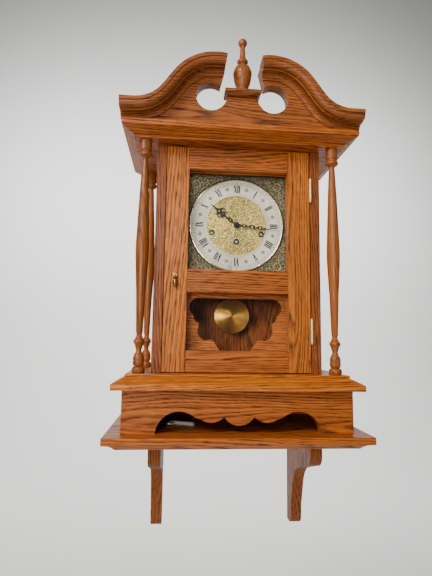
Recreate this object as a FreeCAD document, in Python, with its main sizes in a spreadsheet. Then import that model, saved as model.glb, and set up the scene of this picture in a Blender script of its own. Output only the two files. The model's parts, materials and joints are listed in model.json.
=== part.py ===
"""Pillared oak wall clock on its own wall shelf.

Frame: X to the right, Y towards the wall, Z up, millimetres. The wall is the plane Y = 0 and
the front of the clock looks towards -Y. The origin lies on the wall, midway between the two
keyhole hangers that carry the shelf. Depths are distances forward of the wall.
"""
import FreeCAD
import Part
import Sketcher
import math
import os

Vector = FreeCAD.Vector

DIMENSIONS = [
    ("shelf_drop", 30.7, "hanger line to the underside of the shelf"),
    ("shelf_thick", 21.5, "shelf board"),
    ("shelf_half", 217.5, "middle to the end of the shelf"),
    ("shelf_depth", 232.0, "wall to the front of the shelf"),
    ("shelf_lip", 11.5, "flat lip of the shelf edge"),
    ("shelf_cove", 19.0, "how far the cove under the lip runs in"),
    ("corbel_inner", 128.0, "middle to the inner face of a corbel"),
    ("corbel_thick", 21.5, "corbel board"),
    ("corbel_reach", 168.0, "wall to the front of a corbel"),
    ("corbel_fall", 157.5, "hanger line to the foot of a corbel"),
    ("hanger_hole", 4.5, "radius of a keyhole's entry hole"),
    ("hanger_slot", 2.2, "half width of a keyhole's slot"),
    ("hanger_rise", 11.0, "height of a keyhole's slot above its entry hole"),
    ("box_height", 70.2, "height of the base box"),
    ("box_half", 192.0, "middle to the outside of the base box"),
    ("box_depth", 203.0, "wall to the front of the apron"),
    ("box_board", 19.0, "boards of the base box"),
    ("board_half", 208.3, "middle to the end of the base and crown boards"),
    ("board_depth", 219.8, "wall to the front of the base and crown boards"),
    ("board_lip", 9.8, "flat lip of the base and crown boards"),
    ("board_bevel", 10.8, "height of their bevel"),
    ("board_inset", 19.5, "width of their bevel"),
    ("board_step", 4.2, "height of the step beyond the bevel"),
    ("case_height", 406.0, "case between the base and crown boards"),
    ("case_half", 148.5, "middle to the outside of the case"),
    ("case_depth", 174.0, "wall to the front edge of the case sides"),
    ("case_wall", 17.0, "case sides"),
    ("back_thick", 6.0, "back panel"),
    ("back_rabbet", 8.5, "how far the back panel runs into the sides"),
    ("door_front", 173.0, "wall to the front of the door"),
    ("door_thick", 19.0, "door frame"),
    ("door_half", 130.6, "middle to the edge of the door"),
    ("door_gap", 1.2, "gap above and below the door"),
    ("window_half", 90.2, "half width of the two windows"),
    ("bottom_rail", 37.2, "height of the bottom rail"),
    ("lower_window", 100.8, "height of the lower window"),
    ("middle_rail", 40.8, "height of the middle rail"),
    ("upper_window", 183.7, "height of the upper window"),
    ("glass_rabbet", 6.0, "width of the rabbet behind each window"),
    ("rabbet_front", 162.0, "wall to the front of the glass"),
    ("glass_thick", 3.0, "window glass"),
    ("hinge_x", 131.05, "middle to the hinge pins"),
    ("hinge_depth", 176.6, "wall to the hinge pins"),
    ("hinge_barrel", 2.4, "radius of the hinge barrels"),
    ("hinge_pin", 1.1, "radius of the hinge pins"),
    ("hinge_knuckle", 8.2, "height of one knuckle"),
    ("hinge_leaf", 0.8, "thickness of a hinge leaf"),
    ("hinge_low", 200.5, "foot of the lower hinge above the origin"),
    ("hinge_high", 457.5, "foot of the upper hinge above the origin"),
    ("column_x", 168.6, "middle to the columns"),
    ("column_front", 185.6, "wall to the axis of the front columns"),
    ("column_rear", 28.0, "wall to the axis of the rear columns"),
    ("pediment_half", 199.0, "half width of the pediment board"),
    ("pediment_front", 210.0, "wall to the front of the pediment board"),
    ("pediment_thick", 23.0, "pediment board"),
    ("neck_end", 211.0, "middle to the outer end of a swan neck"),
    ("neck_flat", 24.0, "level stretch at the outer end of a swan neck"),
    ("neck_base", 27.0, "crown board to the top of that level stretch"),
    ("neck_hollow", 58.0, "radius of the hollow bend"),
    ("neck_turn", 54.0, "degrees that the hollow bend turns"),
    ("neck_run", 34.0, "straight slope between the bends"),
    ("neck_round", 90.0, "radius of the round bend"),
    ("neck_droop", 11.0, "degrees that the scroll end points down"),
    ("neck_reach", 32.0, "how far the moulding stands out of the board"),
    ("neck_tall", 26.8, "height of the moulding's profile"),
    ("eye_x", 55.4, "middle to the centre of a scroll eye"),
    ("eye_rise", 53.3, "crown board to the centre of a scroll eye"),
    ("eye_radius", 26.5, "radius of a scroll eye"),
    ("plinth_rise", 53.6, "crown board to the top of the plinth throat"),
    ("plinth_half", 25.0, "half width of the plinth throat"),
    ("cap_half", 32.0, "half width of the plinth cap"),
    ("cap_thick", 10.0, "height of the plinth cap"),
    ("cap_depth", 222.0, "wall to the front of the plinth cap"),
    ("finial_depth", 206.0, "wall to the axis of the finial"),
    ("panel_front", 140.0, "wall to the front of the dial panel"),
    ("panel_thick", 10.0, "dial panel"),
    ("dial_height", 417.1, "origin to the centre of the dial"),
    ("dial_half", 97.0, "half width of the dial plate"),
    ("ring_radius", 85.0, "outside radius of the chapter ring"),
    ("ring_inner", 56.7, "inside radius of the chapter ring"),
    ("bezel_radius", 89.6, "outside radius of the rim round the chapter ring"),
    ("side_wind_x", 46.4, "middle to the side winding squares"),
    ("side_wind_z", -15.4, "dial centre up to the side winding squares"),
    ("main_wind_z", -31.0, "dial centre up to the middle winding square"),
    ("plate_front", 124.5, "wall to the inside of the front movement plate"),
    ("plate_rear", 88.0, "wall to the inside of the back movement plate"),
    ("plate_thick", 1.5, "movement plates"),
    ("plate_half", 71.0, "half width of the movement plates"),
    ("plate_top", 50.0, "dial centre to the top of the plates"),
    ("plate_foot", -58.0, "dial centre to the bottom of the plates"),
    ("running_gap", 0.05, "radial clearance of running fits"),
    ("pivot_radius", 1.0, "radius of the pivots"),
    ("arbor_radius", 1.5, "radius of the train arbors"),
    ("pipe_radius", 2.2, "outside radius of the minute pipe"),
    ("hour_pipe", 3.0, "outside radius of the hour pipe"),
    ("swing_height", 42.0, "dial centre up to the pendulum's pivot"),
    ("bob_drop", 208.0, "pivot down to the centre of the bob"),
    ("bob_radius", 34.5, "pendulum bob"),
    ("rod_depth", 78.0, "wall to the pendulum rod"),
    ("gong_longest", 236.0, "length of the longest gong rod"),
    ("gong_step", 7.0, "difference between one gong rod and the next"),
    ("gong_pitch", 16.0, "distance between gong rods"),
    ("gong_radius", 1.5, "gong rods"),
    ("gong_depth", 45.0, "wall to the gong rods"),
    ("minute_angle", 96.7, "minute hand at rest, degrees clockwise from twelve"),
    ("hour_angle", 308.1, "hour hand at rest, degrees clockwise from twelve"),
]

doc = FreeCAD.newDocument("PillaredWallClock")
sheet = doc.addObject("Spreadsheet::Sheet", "Dims")
for row, (alias, number, meaning) in enumerate(DIMENSIONS, 1):
    sheet.set(f"A{row}", meaning)
    sheet.set(f"B{row}", str(number))
    sheet.setAlias(f"B{row}", alias)
doc.recompute()


class Size:
    """A number together with the sheet formula that gives it."""

    def __init__(self, value, formula, fixed=False):
        self.value = value
        self.formula = formula
        self.fixed = fixed

    def __add__(self, other):
        return combine(self, "+", other)

    def __radd__(self, other):
        return combine(other, "+", self)

    def __sub__(self, other):
        return combine(self, "-", other)

    def __rsub__(self, other):
        return combine(other, "-", self)

    def __mul__(self, other):
        return combine(self, "*", other)

    def __rmul__(self, other):
        return combine(other, "*", self)

    def __truediv__(self, other):
        return combine(self, "/", other)

    def __neg__(self):
        return combine(0, "-", self)


def size(thing):
    """Wrap a plain number, so that both kinds can be handled alike."""
    if isinstance(thing, Size):
        return thing
    return Size(float(thing), f"({float(thing):.6f})", fixed=True)


def combine(first, sign, second):
    """The sum, difference, product or quotient of two sizes."""
    a, b = size(first), size(second)
    values = {"+": a.value + b.value, "-": a.value - b.value, "*": a.value * b.value}
    value = a.value / b.value if sign == "/" else values[sign]
    return Size(value, f"({a.formula} {sign} {b.formula})", a.fixed and b.fixed)


def sine(angle):
    """Sine of a size in degrees."""
    return Size(math.sin(math.radians(angle.value)), f"sin({angle.formula})")


def cosine(angle):
    """Cosine of a size in degrees."""
    return Size(math.cos(math.radians(angle.value)), f"cos({angle.formula})")


def other_leg(longest, leg):
    """The second leg of a right triangle."""
    formula = f"sqrt({longest.formula} ^ 2 - {leg.formula} ^ 2)"
    return Size(math.sqrt(longest.value ** 2 - leg.value ** 2), formula)


class Sheet:
    """The sheet's cells by alias, each as a Size."""

    def __init__(self):
        for alias, number, _ in DIMENSIONS:
            setattr(self, alias, Size(number, f"Dims.{alias}"))


d = Sheet()
pieces = []


def bind(thing, name, amount):
    """Drive one property from the sheet."""
    thing.setExpression(name, size(amount).formula)


def keep(piece):
    """Mark an object of the document as a finished sub-part."""
    pieces.append(piece)
    return piece


def place(piece, x=0, y=0, z=0):
    """Move an object to a point."""
    for axis, amount in (("x", x), ("y", y), ("z", z)):
        if size(amount).value:
            bind(piece, f"Placement.Base.{axis}", amount)
    return piece


def turn(piece, axis, degrees):
    """Turn an object about a line through its own origin."""
    piece.Placement = FreeCAD.Placement(Vector(), FreeCAD.Rotation(Vector(*axis), size(degrees).value))
    if not size(degrees).fixed:
        bind(piece, "Placement.Rotation.Angle", degrees)
    return piece


def block(label, x, y, z):
    """A rectangular piece between pairs of limits along X, Y and Z."""
    piece = doc.addObject("Part::Box", label)
    for side, axis, (low, high) in (("Length", "x", x), ("Width", "y", y), ("Height", "z", z)):
        bind(piece, side, high - low)
        bind(piece, f"Placement.Base.{axis}", low)
    return piece


def rod_y(label, x, z, radius, near, far):
    """A round rod along Y from a near depth to a larger depth."""
    piece = doc.addObject("Part::Cylinder", label)
    bind(piece, "Radius", radius)
    bind(piece, "Height", far - near)
    turn(piece, (1, 0, 0), 90)
    return place(piece, x, -near, z)


def rod_z(label, x, y, low, high, radius):
    """A round rod along Z."""
    piece = doc.addObject("Part::Cylinder", label)
    bind(piece, "Radius", radius)
    bind(piece, "Height", high - low)
    return place(piece, x, y, low)


def rod_x(label, y, z, low, high, radius):
    """A round rod along X."""
    piece = doc.addObject("Part::Cylinder", label)
    bind(piece, "Radius", radius)
    bind(piece, "Height", high - low)
    turn(piece, (0, 1, 0), 90)
    return place(piece, low, y, z)


def join(label, *members):
    """Members that are one solid piece."""
    piece = doc.addObject("Part::MultiFuse", label)
    piece.Shapes = list(members)
    return piece


def carve(label, base, *tools):
    """A base with every tool taken out of it."""
    tool = tools[0] if len(tools) == 1 else join(label + "_tools", *tools)
    piece = doc.addObject("Part::Cut", label)
    piece.Base = base
    piece.Tool = tool
    return piece


def group(label, *members):
    """Separate solids that share one node."""
    piece = doc.addObject("Part::Compound", label)
    piece.Links = list(members)
    return piece


def mirrored(label, source):
    """The left-hand twin of a right-hand piece."""
    piece = doc.addObject("Part::Mirroring", label)
    piece.Source = source
    piece.Normal = Vector(1, 0, 0)
    return piece


def arc_between(start, end, radius):
    """The arc of at most half a turn from start to end; a positive radius turns left."""
    chord = end - start
    left = Vector(-chord.y, chord.x, 0).normalize()
    away = math.sqrt(max(radius**2 - (chord.Length / 2) ** 2, 0.0))
    side = 1 if radius > 0 else -1
    centre = (start + end) * 0.5 + left * away * side
    first, last = (start, end) if radius > 0 else (end, start)
    angles = [math.atan2(p.y - centre.y, p.x - centre.x) for p in (first, last)]
    return Part.ArcOfCircle(Part.Circle(centre, Vector(0, 0, 1), abs(radius)), *angles)


def pin_point(sketch, geometry, end, x, y):
    """Fix one point of a sketch at sheet-driven coordinates."""
    for kind, axis, amount in (("DistanceX", -2, size(x)), ("DistanceY", -1, size(y))):
        if amount.fixed and amount.value == 0:
            sketch.addConstraint(Sketcher.Constraint("PointOnObject", geometry, end, axis))
            continue
        index = sketch.addConstraint(
            Sketcher.Constraint(kind, -1, 1, geometry, end, amount.value)
        )
        if not amount.fixed:
            bind(sketch, f"Constraints[{index}]", amount)


def pin_radius(sketch, geometry, radius):
    """Fix the radius of an arc or circle from the sheet."""
    amount = size(radius)
    index = sketch.addConstraint(Sketcher.Constraint("Radius", geometry, abs(amount.value)))
    if not amount.fixed:
        bind(sketch, f"Constraints[{index}]", amount if amount.value > 0 else -amount)


def draw(sketch, outline, closed=True):
    """Draw an outline of (x, y) or (x, y, radius) points; the radius curves the side into it."""
    count = len(outline)
    spots = [Vector(size(point[0]).value, size(point[1]).value, 0) for point in outline]
    sides = []
    for index in range(count if closed else count - 1):
        target = (index + 1) % count
        bend = size(outline[target][2]) if len(outline[target]) > 2 else None
        if bend is None:
            geometry = sketch.addGeometry(Part.LineSegment(spots[index], spots[target]), False)
            sides.append((geometry, 1, 2))
            continue
        arc = arc_between(spots[index], spots[target], bend.value)
        geometry = sketch.addGeometry(arc, False)
        pin_radius(sketch, geometry, bend)
        sides.append((geometry, 1, 2) if bend.value > 0 else (geometry, 2, 1))
    for index, (geometry, begin, end) in enumerate(sides):
        pin_point(sketch, geometry, begin, outline[index][0], outline[index][1])
        if closed or index + 1 < len(sides):
            following = sides[(index + 1) % len(sides)]
            joint = Sketcher.Constraint("Coincident", geometry, end, following[0], following[1])
            sketch.addConstraint(joint)
    if not closed:
        geometry, _, end = sides[-1]
        pin_point(sketch, geometry, end, outline[-1][0], outline[-1][1])


def sketch_on(body, role, start=0):
    """A sketch on one of the body's own origin planes, moved along that plane's normal."""
    sketch = body.newObject("Sketcher::SketchObject", body.Name + "_sketch")
    plane = [item for item in body.Origin.OriginFeatures if item.Role == role][0]
    sketch.AttachmentSupport = [(plane, "")]
    sketch.MapMode = "FlatFace"
    if size(start).value:
        bind(sketch, "AttachmentOffset.Base.z", start)
    return sketch


def slab(label, role, outline, start, depth, holes=(), cutouts=()):
    """A board cut to an outline: start and depth run along the plane's normal.

    The normal is +Z for XY_Plane, -Y (forward) for XZ_Plane and +X for YZ_Plane.
    """
    body = doc.addObject("PartDesign::Body", label)
    sketch = sketch_on(body, role, start)
    draw(sketch, outline)
    for x, y, radius in holes:
        circle = Part.Circle(Vector(size(x).value, size(y).value, 0), Vector(0, 0, 1), size(radius).value)
        geometry = sketch.addGeometry(circle, False)
        pin_radius(sketch, geometry, radius)
        pin_point(sketch, geometry, 3, x, y)
    for cutout in cutouts:
        draw(sketch, cutout)
    pad = body.newObject("PartDesign::Pad", body.Name + "_pad")
    pad.Profile = sketch
    bind(pad, "Length", depth)
    body.Tip = pad
    return body


def turned(label, role, outline):
    """A piece turned on a lathe: XZ_Plane turns about Z, XY_Plane about Y."""
    body = doc.addObject("PartDesign::Body", label)
    sketch = sketch_on(body, role)
    draw(sketch, outline)
    spin = body.newObject("PartDesign::Revolution", body.Name + "_turning")
    spin.Profile = sketch
    spin.ReferenceAxis = (sketch, ["V_Axis"])
    spin.Angle = 360
    body.Tip = spin
    return body


def cap_radius(reach, rise):
    """Radius of a dome centred on its axis, from its half width and its rise."""
    return (reach * reach + rise * rise) / (2 * rise)


def two_sided(half):
    """Complete an outline from its right half, which runs upwards from the lowest point."""
    left = []
    for index in range(len(half) - 1, -1, -1):
        x, y = half[index][:2]
        bend = half[index + 1][2:] if index + 1 < len(half) else ()
        if size(x).value:
            left.append((-size(x), y, *bend))
    starts_in_middle = not size(half[0][0]).value
    closing = half[1][2:] if starts_in_middle else ()
    return [(*half[0][:2], *closing), *half[1:], *left]


def rectangle(low_x, high_x, low_y, high_y):
    """A rectangular outline."""
    return [(low_x, low_y), (high_x, low_y), (high_x, high_y), (low_x, high_y)]


# ---------------------------------------------------------------- heights shared by the pieces
shelf_top = d.shelf_drop + d.shelf_thick
box_top = shelf_top + d.box_height
board_thick = d.board_lip + d.board_bevel + d.board_step
case_foot = box_top + board_thick
case_top = case_foot + d.case_height
crown_top = case_top + board_thick
case_inner = d.case_half - d.case_wall


# ---------------------------------------------------------------- shelf, corbels and hangers
def section(label, outline, x=0, y=0):
    """A free-standing sketch in the XZ plane, for sweeping."""
    sketch = doc.addObject("Sketcher::SketchObject", label)
    draw(sketch, outline)
    turn(sketch, (1, 0, 0), 90)
    return place(sketch, x, y)


def sweep(label, profile, path, sides, corners="Transformed"):
    """A profile run along a path of so many sides."""
    piece = doc.addObject("Part::Sweep", label)
    piece.Sections = [profile]
    piece.Spine = (path, [f"Edge{number + 1}" for number in range(sides)])
    piece.Solid = True
    piece.Transition = corners
    return piece


def make_shelf():
    """The shelf board: a flat lip over a cove that runs round the front and both ends."""
    over = 2.0
    blank = block(
        "shelf_blank",
        (-d.shelf_half, d.shelf_half),
        (-d.shelf_depth, size(0)),
        (d.shelf_drop, shelf_top),
    )
    lip_foot = shelf_top - d.shelf_lip
    inside = -d.shelf_half + d.shelf_cove
    cove = section(
        "cove_section",
        [
            (-d.shelf_half - over, d.shelf_drop - over),
            (inside, d.shelf_drop - over),
            (inside, d.shelf_drop),
            (-d.shelf_half + 0.8, lip_foot, 30.0),
            (-d.shelf_half - over, lip_foot),
        ],
        y=size(over),
    )
    path = doc.addObject("Sketcher::SketchObject", "shelf_edge")
    corner = d.shelf_depth
    draw(
        path,
        [(-d.shelf_half, over), (-d.shelf_half, -corner), (d.shelf_half, -corner), (d.shelf_half, over)],
        closed=False,
    )
    place(path, z=d.shelf_drop)
    cutter = sweep("cove_cutter", cove, path, 3, "Right corner")
    return carve("shelf_board", blank, cutter)


def make_corbel(label, inner):
    """One bracket: a square nose, a slanted underside and a leg down the wall."""
    underside = -35.5
    outline = [
        (size(0), d.shelf_drop),
        (size(0), -d.corbel_fall),
        (-17.0, -d.corbel_fall),
        (-31.0, -d.corbel_fall + 13.0, -15.0),
        (-35.0, -115.0),
        (-49.5, -71.0),
        (-82.0, underside, 62.0),
        (-148.0, -13.5),
        (-d.corbel_reach, 11.0, -23.0),
        (-d.corbel_reach, d.shelf_drop),
    ]
    blank = slab(label + "_blank", "YZ_Plane", outline, inner, d.corbel_thick)
    middle = inner + d.corbel_thick / 2
    plate = block(
        label + "_plate_recess",
        (middle - 8.0, middle + 8.0),
        (size(-1.6), size(1.0)),
        (size(-10.0), d.hanger_rise + 10.0),
    )
    head = block(
        label + "_head_recess",
        (middle - 5.5, middle + 5.5),
        (size(-9.0), size(1.0)),
        (size(-6.0), d.hanger_rise + 5.0),
    )
    return carve(label, blank, plate, head)


def make_hanger(label, inner):
    """One keyhole plate: a round entry hole with a slot above it."""
    middle = inner + d.corbel_thick / 2
    near, far = size(-1.0), size(2.6)
    plate = block(
        f"{label}_plate",
        (middle - 8.0, middle + 8.0),
        (size(-1.6), size(0)),
        (size(-10.0), d.hanger_rise + 10.0),
    )
    entry = rod_y(f"{label}_entry", middle, size(0), d.hanger_hole, near, far)
    slot = block(
        f"{label}_slot",
        (middle - d.hanger_slot, middle + d.hanger_slot),
        (-far, -near),
        (size(0), d.hanger_rise),
    )
    slot_end = rod_y(f"{label}_slot_end", middle, d.hanger_rise, d.hanger_slot, near, far)
    return carve(label, plate, entry, slot, slot_end)


keep(make_shelf())
keep(make_corbel("corbel_right", d.corbel_inner))
keep(mirrored("corbel_left", doc.corbel_right))
hanger = make_hanger("hanger_right", d.corbel_inner)
keep(group("keyhole_hangers", hanger, mirrored("hanger_left", hanger)))


# ---------------------------------------------------------------- base box and its board
def bevelled_board(label, low, inverted):
    """A board whose front and ends step in through a mitred bevel, upwards or downwards."""
    lip_low = low + (d.board_step + d.board_bevel if inverted else 0)
    bevel_low = low + (d.board_step if inverted else d.board_lip)
    step_low = low + (0 if inverted else d.board_lip + d.board_bevel)
    narrow_half = d.board_half - d.board_inset
    narrow_depth = d.board_depth - d.board_inset
    lip = block(
        label + "_lip",
        (-d.board_half, d.board_half),
        (-d.board_depth, size(0)),
        (lip_low, lip_low + d.board_lip),
    )
    step = block(
        label + "_step",
        (-narrow_half, narrow_half),
        (-narrow_depth, size(0)),
        (step_low, step_low + d.board_step),
    )
    bevel = doc.addObject("Part::Wedge", label + "_bevel")
    wide, narrow = ("2", "") if inverted else ("", "2")
    bevel.Ymin = 0
    bind(bevel, "Ymax", d.board_bevel)
    for tag, half, depth in (
        (wide, d.board_half, d.board_depth),
        (narrow, narrow_half, narrow_depth - 1.2),
    ):
        bind(bevel, f"X{tag}min", -half + (0 if tag == wide else 1.2))
        bind(bevel, f"X{tag}max", half - (0 if tag == wide else 1.2))
        setattr(bevel, f"Z{tag}min", 0)
        bind(bevel, f"Z{tag}max", depth)
    turn(bevel, (1, 0, 0), 90)
    place(bevel, z=bevel_low)
    return join(label, lip, bevel, step)


def make_apron():
    """The front of the base box, with a lobed arch cut out of its lower edge."""
    arch_x, arch_radius, arch_sink = size(98.5), size(38.5), size(3.0)
    half = [
        (size(0), shelf_top + 13.1),
        (25.0, shelf_top + 26.7, 29.8),
        (62.5, shelf_top + 22.5, 30.0),
        (73.5, shelf_top + 26.3),
        (arch_x, shelf_top + arch_radius - arch_sink, -arch_radius),
        (arch_x + other_leg(arch_radius, arch_sink), shelf_top, -arch_radius),
        (d.box_half, shelf_top),
        (d.box_half, box_top),
    ]
    outline = two_sided(half)
    return slab("base_apron", "XZ_Plane", outline, d.box_depth - d.box_board, d.box_board)


def make_base_frame():
    """The two ends and the back rail of the base box."""
    tall = (shelf_top, box_top)
    inner = d.box_half - d.box_board
    behind = (-(d.box_depth - d.box_board), size(0))
    right = block("base_end_right", (inner, d.box_half), behind, tall)
    left = block("base_end_left", (-d.box_half, -inner), behind, tall)
    rail = block("base_back_rail", (-inner, inner), (size(-12.0), size(0)), tall)
    return group("base_frame", left, right, rail)


keep(make_apron())
keep(make_base_frame())
keep(bevelled_board("base_board", box_top, False))


# ---------------------------------------------------------------- case
case_span = (case_foot, case_top)


def hinge_recess(label, low, x_low, x_high, depth):
    """The mortise for one hinge leaf."""
    tall = d.hinge_knuckle * 5
    return block(label, (x_low, x_high), (-depth, size(-156.0)), (low, low + tall))


def make_case_side_right():
    """The hinge side of the case: rabbeted for the back panel, mortised for two leaves."""
    blank = block("side_blank", (case_inner, d.case_half), (-d.case_depth, size(0)), case_span)
    rabbet = block(
        "side_rabbet",
        (case_inner - 1, case_inner + d.back_rabbet),
        (-d.back_thick, size(1)),
        (case_foot - 1, case_top + 1),
    )
    leaf = (case_inner - 1, case_inner + d.hinge_leaf)
    low = hinge_recess("side_mortise_low", d.hinge_low, *leaf, d.case_depth + 1)
    high = hinge_recess("side_mortise_high", d.hinge_high, *leaf, d.case_depth + 1)
    return carve("case_side_right", blank, rabbet, low, high)


def make_case_side_left():
    """The plain side of the case."""
    outline = [
        (-case_inner, -d.case_depth),
        (-case_inner, -d.back_thick),
        (-case_inner - d.back_rabbet, -d.back_thick),
        (-case_inner - d.back_rabbet, size(0)),
        (-d.case_half, size(0)),
        (-d.case_half, -d.case_depth),
    ]
    return slab("case_side_left", "XY_Plane", outline, case_foot, d.case_height)


keep(make_case_side_right())
keep(make_case_side_left())
back_half = case_inner + d.back_rabbet
keep(block("back_panel", (-back_half, back_half), (-d.back_thick, size(0)), case_span))
keep(bevelled_board("crown_board", case_top, True))


# ---------------------------------------------------------------- columns and finial
def make_column(label, x, depth):
    """A turned column: ring, vase and bead below, a swelling shaft, ring and drum above."""
    tall = d.case_height
    outline = [
        (size(0), size(0)),
        (9.6, size(0)),
        (9.6, 10.0, 9.0),
        (7.0, 11.2),
        (8.9, 20.5, 9.0),
        (5.7, 34.0, 16.0),
        (5.7, 42.0, -9.0),
        (7.6, 48.5),
        (7.6, 56.5, 5.0),
        (6.0, 59.5),
        (5.7, 68.0, -9.0),
        (7.9, 133.0),
        (11.0, 190.0),
        (11.0, tall - 173.0, 460.0),
        (7.9, tall - 90.0),
        (5.2, tall - 36.5),
        (5.6, tall - 32.5, -4.0),
        (9.6, tall - 30.0),
        (9.6, tall - 22.5, 4.6),
        (9.2, tall - 21.0),
        (10.7, tall - 18.0, -4.0),
        (10.7, tall),
        (size(0), tall),
    ]
    return place(turned(label, "XZ_Plane", outline), x, -depth, case_foot)


keep(make_column("column_front_left", -d.column_x, d.column_front))
keep(make_column("column_front_right", d.column_x, d.column_front))
rear = [
    make_column("rear_left", -d.column_x, d.column_rear),
    make_column("rear_right", d.column_x, d.column_rear),
]
keep(group("rear_columns", *rear))

ball_radius, ball_z = 8.0, 96.0
finial_outline = [
    (size(0), size(0)),
    (10.2, size(0)),
    (10.2, 4.5, 3.0),
    (9.3, 6.5),
    (16.0, 31.0, 62.0),
    (15.2, 42.0, 14.0),
    (6.2, 52.5, 13.0),
    (6.6, 54.0),
    (10.0, 58.5, 9.0),
    (10.0, 60.5),
    (8.6, 61.5),
    (5.2, 71.5, -16.0),
    (4.2, ball_z - math.sqrt(ball_radius**2 - 4.2**2)),
    (ball_radius, ball_z, ball_radius),
    (size(0), ball_z + ball_radius, ball_radius),
]
finial = turned("finial", "XZ_Plane", finial_outline)
cap_top = crown_top + d.plinth_rise + d.cap_thick
keep(place(finial, 0, -d.finial_depth, cap_top))


# ---------------------------------------------------------------- pediment
def neck_route(inset):
    """The line of a right-hand swan neck's top from its outer end, lowered by an inset."""
    hollow = d.neck_hollow + inset
    rounded = d.neck_round - inset
    top = crown_top + d.neck_base - inset
    bend_x = d.neck_end - d.neck_flat
    first_x = bend_x - hollow * sine(d.neck_turn)
    first_z = top + hollow * (1 - cosine(d.neck_turn))
    second_x = first_x - d.neck_run * cosine(d.neck_turn)
    second_z = first_z + d.neck_run * sine(d.neck_turn)
    last_x = second_x - rounded * (sine(d.neck_turn) + sine(d.neck_droop))
    last_z = second_z + rounded * (cosine(d.neck_droop) - cosine(d.neck_turn))
    return [
        (d.neck_end, top),
        (bend_x, top),
        (first_x, first_z, -hollow),
        (second_x, second_z),
        (last_x, last_z, rounded),
    ]


def make_pediment():
    """The board behind the swan necks, with two scroll eyes open towards the plinth."""
    route = neck_route(2.5)
    eye_z = crown_top + d.eye_rise
    edge = [
        (d.pediment_half, crown_top),
        (d.pediment_half, crown_top + d.neck_base - 2.5),
        *route[1:],
        (d.eye_x - d.eye_radius * 0.6, eye_z + d.eye_radius * 0.8),
        (d.eye_x + d.eye_radius, eye_z, -d.eye_radius),
        (d.eye_x - d.eye_radius * 0.75, eye_z - d.eye_radius * 0.6614, -d.eye_radius),
        (d.plinth_half, crown_top + d.plinth_rise, -60.0),
    ]
    outline = edge + [(-size(x), z, *bend) for (x, z, *bend) in reverse_bends(edge)]
    start = d.pediment_front - d.pediment_thick
    return slab("pediment_board", "XZ_Plane", outline, start, d.pediment_thick)


def reverse_bends(points):
    """The same points walked backwards, each keeping the bend of the side that it ends."""
    backwards = []
    for index in range(len(points) - 1, -1, -1):
        bend = points[index + 1][2:] if index + 1 < len(points) else ()
        backwards.append((points[index][0], points[index][1], *bend))
    return backwards


def make_swan_neck():
    """The right-hand crown moulding: fillet, cove and bead swept along the scrolled edge."""
    route = neck_route(size(0))
    path = doc.addObject("Sketcher::SketchObject", "neck_path")
    draw(path, route, closed=False)
    turn(path, (1, 0, 0), 90)
    place(path, y=-d.pediment_front)
    profile = doc.addObject("Sketcher::SketchObject", "neck_profile")
    top = crown_top + d.neck_base
    reach, tall = d.neck_reach, d.neck_tall
    outline = [
        (size(0), top),
        (-reach, top),
        (-reach, top - 6.5),
        (-reach + 1.8, top - 6.5),
        (-reach + 1.8, top - 8.5),
        (-reach + 13.0, top - 16.5, 9.0),
        (-reach + 13.0, top - 18.5),
        (-reach + 15.0, top - 18.5),
        (-2.5, top - tall + 2.5, -11.0),
        (-2.5, top - tall),
        (size(0), top - tall),
    ]
    draw(profile, outline)
    profile.Placement = FreeCAD.Placement(Vector(), FreeCAD.Rotation(Vector(1, 1, 1), 120))
    place(profile, d.neck_end, -d.pediment_front)
    return sweep("swan_neck_right", profile, path, 4)


keep(make_pediment())
keep(make_swan_neck())
keep(mirrored("swan_neck_left", doc.swan_neck_right))


def make_plinth_cap():
    """The moulded block under the finial."""
    foot = crown_top + d.plinth_rise
    slab_low = cap_top - 6.0
    centre = d.finial_depth
    half_deep = d.cap_depth - centre
    plate = block(
        "cap_plate",
        (-d.cap_half, d.cap_half),
        (-centre - half_deep, -centre + half_deep),
        (slab_low, cap_top),
    )
    ogee = doc.addObject("Part::Wedge", "cap_ogee")
    inset = 5.0
    ogee.Ymin = 0
    bind(ogee, "Ymax", slab_low - foot)
    bind(ogee, "Xmin", -d.cap_half + inset)
    bind(ogee, "Xmax", d.cap_half - inset)
    bind(ogee, "X2min", -d.cap_half + 1)
    bind(ogee, "X2max", d.cap_half - 1)
    bind(ogee, "Zmin", centre - half_deep + inset)
    bind(ogee, "Zmax", centre + half_deep - inset)
    bind(ogee, "Z2min", centre - half_deep + 1)
    bind(ogee, "Z2max", centre + half_deep - 1)
    turn(ogee, (1, 0, 0), 90)
    place(ogee, z=foot)
    return join("plinth_cap", plate, ogee)


keep(make_plinth_cap())


# ---------------------------------------------------------------- door
door_foot = case_foot + d.door_gap
door_top = case_top - d.door_gap
door_back = d.door_front - d.door_thick
low_sill = door_foot + d.bottom_rail
low_head = low_sill + d.lower_window
high_sill = low_head + d.middle_rail
high_head = high_sill + d.upper_window
rabbet_half = d.window_half + d.glass_rabbet


def stile_outline(side):
    """The section of a door stile: a rabbet runs down its inner back edge."""
    return [
        (side * d.window_half, -d.door_front),
        (side * d.door_half, -d.door_front),
        (side * d.door_half, -door_back),
        (side * rabbet_half, -door_back),
        (side * rabbet_half, -d.rabbet_front),
        (side * d.window_half, -d.rabbet_front),
    ]


def make_stile_left():
    """The free edge of the door."""
    return slab("door_stile_left", "XY_Plane", stile_outline(-1), door_foot, door_top - door_foot)


def make_stile_right():
    """The hinge edge of the door, mortised for two leaves."""
    tall = door_top - door_foot
    blank = slab("stile_blank", "XY_Plane", stile_outline(1), door_foot, tall)
    leaf = (d.door_half - d.hinge_leaf, d.door_half + 1)
    low = hinge_recess("stile_mortise_low", d.hinge_low, *leaf, d.door_front + 1)
    high = hinge_recess("stile_mortise_high", d.hinge_high, *leaf, d.door_front + 1)
    return carve("door_stile_right", blank, low, high)


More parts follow.
